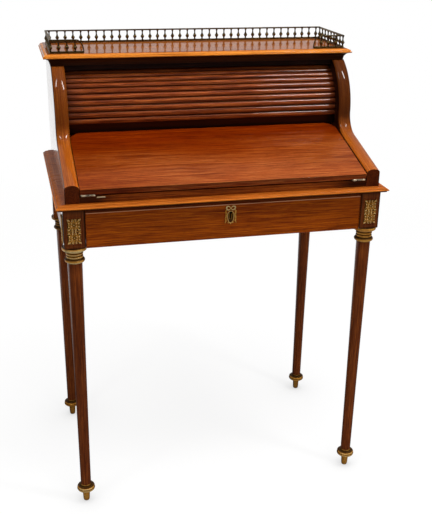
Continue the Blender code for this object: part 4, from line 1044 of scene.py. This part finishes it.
def make_tambour():
    """Half-round slats and a lead rail on a woven canvas."""
    low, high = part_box("tambour_slat_1")
    back = TAMBOUR_RADIUS - SLAT_THICKNESS
    lead_top = FIRST_SLAT - SLAT_SPACE
    lead = tambour_arc(back, LEAD_RAIL_START, lead_top, 8) + slat_bead(FIRST_SLAT - SLAT_PITCH, lead_top)
    # The lead rail's lower edge is in deep painted shade.
    lead.append((*tambour_arc(TAMBOUR_RADIUS - SLAT_BEAD, LEAD_RAIL_START, LEAD_RAIL_START, 0)[0], 0.95))
    make_slat("lead_rail", lead, "tambour_lead_rail")
    slats = [f"slat_{number + 1}" for number in range(SLAT_COUNT)]
    for number, name in enumerate(slats):
        begin = FIRST_SLAT + SLAT_PITCH * number
        end = begin + SLAT_PITCH - SLAT_SPACE
        make_slat(name, tambour_arc(back, begin, end, 3) + slat_bead(begin, end), "tambour_" + name)
    outer = back - GAP
    sheet = tambour_arc(outer, LEAD_RAIL_START, TAMBOUR_TAIL, 40)
    sheet += tambour_arc(outer - CLOTH_THICKNESS, TAMBOUR_TAIL, LEAD_RAIL_START, 40)
    bm = start()
    extruded(bm, sheet, ALONG_X, low.x, high.x)
    cloth = settle(as_object("tambour_cloth", bm, CANVAS), "tambour", "canvas", "tambour_canvas")


# Flap and hinges

def make_flap():
    """The writing flap: a polished board with eased edges, rounded rear corners and room for the knuckles."""
    half = FLAP_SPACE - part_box("hinge_leaf_bed_left")[0].x
    reach = math.hypot(AXIS.y - HINGE.y, AXIS.z - HINGE.z) - TAMBOUR_RADIUS - FLAP_SPACE
    length = math.sqrt(reach**2 - (FLAP_LIFT + FLAP_THICKNESS) ** 2)
    rear = length - FLAP_CORNER
    outline = [(-half, PIVOT_GAP), (half, PIVOT_GAP)]
    outline += arc((half - FLAP_CORNER, rear), FLAP_CORNER, 0.0, 90.0, 14)
    outline += arc((FLAP_CORNER - half, rear), FLAP_CORNER, 90.0, 180.0, 14)
    brim = FLAP_THICKNESS
    insets = ((0.0006, 0.0), (0.0, 0.0006), (0.0, brim - 0.0014), (0.0004, brim - 0.0005), (0.0014, brim))
    bm = start()
    rings = []
    # The upper arris is lightened, partly as a painted highlight, and the front edge darkened with painted
    # shade.
    for inset, height in insets:
        ring = []
        for x, v in outline:
            x -= math.copysign(inset, x)
            v += inset if v < length / 2 else -inset
            lift = 0.4 if 0.013 < height < brim else 0.0
            soil = 0.55 if v < 0.004 and height < brim - 0.001 else 0.0
            ring.append(vert(bm, FLAP_FRAME @ Vector((x, v, FLAP_LIFT + height)), lift, soil))
        rings.append(ring)
    skin(bm, rings)
    flap = as_object("flap_board", bm, WOODS["flap_mahogany_x"], 34.0)
    room = arc((HINGE.y, HINGE.z), KNUCKLE_RADIUS + PIVOT_GAP, 0, 360 - 360 / 28, 27)
    for side in SIDES:
        low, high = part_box(f"hinge_leaf_bed_{side}")
        bm = start()
        extruded(bm, room, ALONG_X, low.x - PIVOT_GAP, high.x + PIVOT_GAP)
        carve(flap, as_object("hinge_room", bm, HINGE_BRASS_GLINTS), angle=34.0)
    settle(flap, "flap", "mahogany", "writing_flap")


def turned_at(bm, profile, sides, matrix):
    """A turned shape put in its place by a matrix."""
    before = set(bm.verts)
    lathe(bm, profile, sides)
    bmesh.ops.transform(bm, matrix=matrix, verts=[v for v in bm.verts if v not in before])


def make_hinge_leaf(side, kind, body, knuckles, matrix, direction):
    """A butt hinge's leaf, with its rounded knuckles and countersunk screws."""
    low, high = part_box(f"hinge_leaf_bed_{side}")
    wide = high.x - low.x
    shine = 0.82 if kind == "bed" else 0.3
    near, far = sorted((direction * GAP / 2, direction * (GAP / 2 + LEAF_THICKNESS)))
    clear = KNUCKLE_RADIUS + PIVOT_GAP
    bm = start()
    rounded_box(bm, (low.x, clear, near), (high.x, LEAF_WIDTH, far), 0.00025, 2, 1.0)
    for knuckle in knuckles:
        begin = low.x + wide / 3 * knuckle + PIVOT_GAP / 2
        long = wide / 3 - PIVOT_GAP
        profile = [(0.0, 0.0, 0.2), (0.0017, 0.0, 0.2), (KNUCKLE_RADIUS, 0.0004, shine)]
        profile += [(radius, long - height, lift) for radius, height, lift in profile[::-1]]
        turned_at(bm, profile, 24, Matrix.Translation((begin, 0, 0)) @ Matrix.Rotation(math.pi / 2, 4, "Y"))
        rounded_box(bm, (begin, 0.0005, near), (begin + long, clear + 0.001, far), 0.0002, 1, 0.9)
    face = (near if direction > 0 else far) + direction * 0.00005
    screw = [(0.0, -0.0002, 0.2), (0.0004, -0.0002, 0.2), (0.0018, -0.0001, 1.0), (0.0019, 0.0, 0.4)]
    screw += [(0.0019, 0.0004, 0.2), (0.0, 0.0004, 0.2)]
    for share in (0.2, 0.5, 0.8):
        flip = Matrix.Rotation(0.0 if direction > 0 else math.pi, 4, "X")
        turned_at(bm, screw, 16, Matrix.Translation((low.x + wide * share, 0.0105, face)) @ flip)
    bmesh.ops.transform(bm, matrix=matrix, verts=bm.verts)
    leaf = as_object(f"{side}_{kind}_hinge_leaf", bm, HINGE_BRASS_GLINTS, 40.0)
    settle(leaf, body, "gilt_brass", f"hinge_leaf_{kind}_{side}")


def make_hinges():
    """Two butt hinges, and a small brass strip beside the left one."""
    for side in SIDES:
        make_hinge_leaf(side, "bed", "carcass", (0, 2), Matrix.Translation(HINGE), -1)
        make_hinge_leaf(side, "flap", "flap", (1,), FLAP_FRAME, 1)
    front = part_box("writing_bed")[0].y
    bm = start()
    rounded_box(bm, (-0.286, front - 0.0005, 0.7786), (-0.268, front + 0.0004, 0.7812), 0.0002, 2, 1.0)
    settle(as_object("left_hinge_strip", bm, HINGE_BRASS_GLINTS), "carcass", "gilt_brass")


def make_leather():
    """The skiver under the flap, with its edges turned down."""
    inverse = FLAP_FRAME.inverted()
    local = [inverse @ v.co for v in frame["nodes"]["flap_leather"].data.vertices]
    low, high = [Vector([pick(p[i] for p in local) for i in range(3)]) for pick in (min, max)]
    bm = start()
    rounded_box(bm, low, high, 0.0004, 3, 0.0)
    bmesh.ops.transform(bm, matrix=FLAP_FRAME, verts=bm.verts)
    sheet = settle(as_object("writing_leather", bm, LEATHER), "flap", "leather", "flap_leather")


# Gallery

def evenly(begin, end):
    """Places about a spindle's pitch apart, both ends included."""
    count = max(1, round((end - begin) / SPINDLE_PITCH))
    return [begin + (end - begin) * i / count for i in range(count + 1)]


def rail(bm, plan, low, high, easing):
    """A flat rail of a plan outline with eased edges."""
    before = set(bm.verts)
    extruded(bm, plan, ALONG_Z, low, high, 0.8)
    edges = {e for v in bm.verts if v not in before for e in v.link_edges}
    edges = [e for e in edges if abs(e.verts[0].co.z - e.verts[1].co.z) < 1e-6]
    made = bmesh.ops.bevel(bm, geom=edges, offset=easing, segments=3, profile=0.5, affect="EDGES")
    paint(bm, made["verts"], "lift", 1.0)


def make_gallery():
    """The pierced brass gallery: rails and turned balusters, its front returns swept down at their ends."""
    low, high = [corner.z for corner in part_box("gallery_back")]
    board_low, board_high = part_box("top_board")
    side_x, back_y = board_high.x - GALLERY_INSET, board_high.y - GALLERY_INSET
    front_y = board_low.y + GALLERY_INSET
    base_top, rail_low = low + 0.0044, high - 0.0033
    foot, head = base_top - 0.0006, rail_low + 0.0006
    end_y = back_y - 0.0026 - GAP
    straight = GALLERY_RETURN - GALLERY_SWEEP
    runs = (
        (0.0026, low, low + 0.0026, 0.0005, GALLERY_RETURN - 0.0012),
        (0.0020, low + 0.0022, base_top, 0.0006, GALLERY_RETURN - 0.0012),
        (0.0023, rail_low, high, 0.0008, straight),
    )
    baluster = flowing([
        (0.0028, 0.00, 0.5), (0.0024, 0.05, 1.0), (0.0016, 0.11, 0.3), (0.0020, 0.17, 0.5),
        (0.0036, 0.27, 0.8), (0.0045, 0.36, 1.0), (0.0041, 0.43, 1.0), (0.0027, 0.52, 0.8),
        (0.0018, 0.61, 0.6), (0.0015, 0.72, 0.6), (0.0017, 0.83, 0.3), (0.0023, 0.92, 1.0),
        (0.0032, 1.0, 0.5),
    ], 2)
    spindle = [(radius, foot + (head - foot) * share, lift) for radius, share, lift in baluster]
    spindle = [(0.0, foot, 0.2), *spindle, (0.0, head, 0.2)]
    middle = high - 0.0014
    tall = middle - low - 0.0014

    bm = start()
    for width, begin, end, easing, _ in runs:
        reach = side_x + 0.0026
        rail(bm, rectangle(-reach, back_y - width, reach, back_y + width), begin, end, easing)
    for x in evenly(GALLERY_SPACE - side_x, side_x - GALLERY_SPACE):
        lathe(bm, spindle, 12, (x, back_y))
    settle(as_object("back_gallery", bm, OLD_BRASS, 45.0), "carcass", "old_brass", "gallery_back")

    for side, sign in SIDES.items():
        bm = start()
        for width, begin, end, easing, length in runs:
            plan = [(side_x + width, end_y), (side_x - width, end_y), (side_x - width, front_y + width)]
            plan += [(side_x - length, front_y + width), (side_x - length, front_y - width)]
            plan.append((side_x + width, front_y - width))
            rail(bm, [(sign * x, y) for x, y in plan], begin, end, easing)
        for y in evenly(front_y + SPINDLE_PITCH, back_y - GALLERY_SPACE):
            lathe(bm, spindle, 12, (sign * side_x, y))
        for x in evenly(0.0, 3 * SPINDLE_PITCH * 0.96):
            lathe(bm, spindle, 12, (sign * (side_x - x), front_y))
        sweep = [(sign * (side_x - straight + 0.002), front_y, middle)]
        for a in np.linspace(0, math.pi / 2, 14):
            x = side_x - straight - (GALLERY_SWEEP - 0.0013) * math.sin(a)
            sweep.append((sign * x, front_y, middle - tall * (1 - math.cos(a))))
        tube(bm, sweep, 0.0013, 10, 1.0)
        settle(as_object(f"{side}_gallery", bm, OLD_BRASS, 45.0), "carcass", "old_brass", f"gallery_{side}")


# Drawer

def make_drawer_front():
    """The drawer front: a field with a bead round it, a shaded fillet over the bead, and a keyhole."""
    low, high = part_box("drawer_front")
    bm = start()
    rounded_box(bm, low, (high.x, high.y, DRAWER_BEAD), 0.0007, 2, 0.2)
    rounded_box(bm, (low.x, low.y + 0.0016, DRAWER_BEAD - 0.002), high, 0.0007, 2, 0.0)
    paint(bm, [v for v in bm.verts if v.co.z > DRAWER_BEAD + 0.0005], "soil", 0.85)
    bmesh.ops.recalc_face_normals(bm, faces=bm.faces)
    for face in bm.faces:
        face.material_index = int(abs(face.normal.x) > 0.9)
    front = as_object("drawer_face", bm, [WOODS["mahogany_x"], WOODS["shaded_mahogany_x"]])
    carve(front, keyhole_cutter(low.y - 0.01, high.y + 0.01, WOODS["shaded_mahogany_x"]))
    settle(front, "drawer", "mahogany", "drawer_front")
    radius = DRAWER_BEAD_RADIUS
    corners = rectangle(low.x + radius, low.z + radius, high.x - radius, DRAWER_BEAD)
    bm = start()
    # The bead's top run takes the pale lit wood and some lift: a painted highlight.
    for number, ((ax, az), (bx, bz)) in enumerate(zip(corners, corners[1:] + corners[:1])):
        at_top = number == 2
        points = [(ax + (bx - ax) * t, low.y + 0.0003, az + (bz - az) * t) for t in np.linspace(0, 1, 9)]
        for face in tube(bm, points, radius, 12, 0.6 * at_top):
            face.material_index = int(not at_top)
    bead = as_object("drawer_cock_bead", bm, [WOODS["bead_mahogany_x"], WOODS["mahogany_x"]])
    settle(bead, "drawer", "mahogany")


# Stage, with its camera as it was fitted to the photograph

FOCAL_PIXELS = 848.4451
TALL_PIXELS = 514
SENSOR = 36.0
YAW, PITCH, ROLL = 0.2472, 0.3828, 0.017
CAMERA_PLACE = (-0.4573, -1.9304, 1.3343)
WHITE = (1.0, 1.0, 1.0, 1.0)
AMBIENT = (0.03, 0.3)
MIRRORED_BEHIND = (0.03, 0.5)
FLOOR_SHADE = 0.22
FLOOR_LEVEL = 0.6
FOOT_SHADE = (0.15, 0.55, 1.0)
FLOOR_MIRRORED = (0.03, 0.95)
LAMP_TARGET = Vector((0.0, 0.0, 0.8))
LAMPS = [
    ("left_soft_box", -55.0, 56.0, 2.7, (0.25, 0.8), 8.0, True),
    ("right_soft_box", 50.0, 56.0, 2.7, (0.25, 0.8), 17.0, True),
    ("front_fill", 15.0, 20.0, 3.0, (1.4, 1.0), 16.5, False),
    ("overhead_soft_box", 25.0, 78.0, 2.4, (2.2, 1.2), 42.0, False),
]


def rays(tree):
    """Whether a ray comes from the camera, and whether it is mirrored or passes through glass."""
    kinds = ("Is Camera Ray", "Is Glossy Ray", "Is Transmission Ray")
    seen, glossy, through = [add_node(tree, "ShaderNodeLightPath", output=kind) for kind in kinds]
    return seen, glossy.math("MAXIMUM", through)


def make_world():
    """A surround that is white to the camera, bright behind and dim elsewhere in mirrors, and a faint sky."""
    world = bpy.data.worlds.new("studio")
    bpy.context.scene.world = world
    world.use_nodes = True
    tree = world.node_tree
    seen, mirrored = rays(tree)
    facing = add_node(tree, "ShaderNodeTexCoord", output="Generated")
    behind = facing.axis(1).remap(0.25, 0.9, *MIRRORED_BEHIND)
    sky = facing.axis(2).remap(-0.2, 1.0, *AMBIENT)
    level = sky + mirrored * (behind - sky)
    feed(tree.nodes["Background"].inputs["Strength"], level.math("MAXIMUM", seen))
    feed(tree.nodes["Background"].inputs["Color"], WHITE)


def make_lamps():
    """Two small soft boxes that show in reflections, and a front fill and a broad overhead box that don't."""
    for name, azimuth, elevation, distance, size, power, mirrored in LAMPS:
        data = bpy.data.lights.new(name, "AREA")
        data.shape = "RECTANGLE"
        data.size, data.size_y = size
        data.energy = power
        lamp = bpy.data.objects.new(name, data)
        bpy.context.scene.collection.objects.link(lamp)
        a, e = math.radians(azimuth), math.radians(elevation)
        outward = Vector((math.sin(a) * math.cos(e), -math.cos(a) * math.cos(e), math.sin(e)))
        lamp.location = LAMP_TARGET + outward * distance
        lamp.rotation_mode = "QUATERNION"
        lamp.rotation_quaternion = (-outward).to_track_quat("-Z", "Y")
        lamp.visible_glossy = mirrored


def make_floor():
    """A white floor that keeps the desk's shadow and fades into the white surround."""
    bm = start()
    rings = []
    for radius in (0.6, 2.0, 6.0, 20.0, 60.0):
        rings.append([vert(bm, (x, y, 0.0)) for x, y in arc((0.0, 0.0), radius, 0.0, 352.5, 47)])
    skin(bm, rings, caps=False)
    bm.faces.new(rings[0])
    material, tree = new_material("pale_floor")
    seen, mirrored = rays(tree)
    place = rest_place(tree)
    away = place.node("ShaderNodeVectorMath", output="Value", operation="LENGTH")
    near = away.remap(0.7, 2.6, FLOOR_SHADE, 0.0)
    open_sky = add_node(tree, "ShaderNodeAmbientOcclusion", {"Distance": FOOT_SHADE[0]}, "AO", samples=16)
    filled = (near * -FLOOR_LEVEL + 1.0) * open_sky.remap(0.0, 1.0, *FOOT_SHADE[1:])
    plain = (near - 0.5) * seen + 0.5
    beside = place.axis(0).remap(-1.25, -0.85, FLOOR_MIRRORED[1], 0.0) * place.axis(1).remap(0.0, 0.4)
    pale = beside.math("MAXIMUM", place.axis(1).remap(0.2, 1.6, *FLOOR_MIRRORED))
    inputs = {
        "Base Color": plain + mirrored * (plain * -1.0 + 0.05), "Roughness": 0.9, "Specular IOR Level": 0.0,
        "Emission Color": WHITE, "Emission Strength": (seen * filled).math("MAXIMUM", mirrored * pale),
    }
    as_object("floor", bm, surface(material, inputs))


def make_camera():
    """The camera at the photograph's angle."""
    data = bpy.data.cameras.new("camera")
    data.sensor_width = SENSOR
    data.lens = SENSOR * FOCAL_PIXELS / TALL_PIXELS
    data.clip_start = 0.05
    forward = Vector((math.sin(YAW) * math.cos(PITCH), math.cos(YAW) * math.cos(PITCH), -math.sin(PITCH)))
    right = Vector((math.cos(YAW), -math.sin(YAW), 0.0))
    up = right.cross(forward)
    rolled_right = right * math.cos(ROLL) + up * math.sin(ROLL)
    rolled_up = up * math.cos(ROLL) - right * math.sin(ROLL)
    camera = bpy.data.objects.new("camera", data)
    bpy.context.scene.collection.objects.link(camera)
    turn = Matrix((rolled_right, rolled_up, -forward)).transposed().to_4x4()
    camera.matrix_world = Matrix.Translation(CAMERA_PLACE) @ turn
    bpy.context.scene.camera = camera
    bpy.context.scene.view_settings.view_transform = "Standard"


make_camera()
make_world()
make_lamps()
make_floor()
make_legs()
make_collars()
make_feet()
for plaque_side in SIDES:
    for plaque_face in ("front", "side"):
        make_plaque(plaque_side, plaque_face)
make_escutcheon()
make_base_board()
make_top_board()
make_side_panels()
make_tambour()
make_flap()
make_hinges()
make_leather()
make_gallery()
make_drawer_front()
dress(WOODS["mahogany_y"], "side_rail_left", "side_rail_right", bevel=0.0006)
dress(WOODS["mahogany_x"], "back_rail", "back_panel", bevel=0.0006)
dress(WOODS["shaded_mahogany_x"], "top_front_rail", bevel=0.0006)
dress(WOODS["bed_mahogany_x"], "writing_bed")
dress(WOODS["mahogany_x"], "pigeonhole_shelf", bevel=0.0008)
dress(WOODS["mahogany_y"], "pigeonhole_divider", "flap_ledge_left", "flap_ledge_right", bevel=0.0008)
dress(WOODS["drawer_oak_y"], "drawer_runner_left", "drawer_runner_right")
dress(WOODS["drawer_oak_y"], "drawer_side_left", "drawer_side_right")
dress(WOODS["drawer_oak_x"], "drawer_back", "drawer_bottom", bevel=0.0006)
dress(STEEL, "drawer_lock_case", "drawer_lock_bolt", bevel=0.0004)
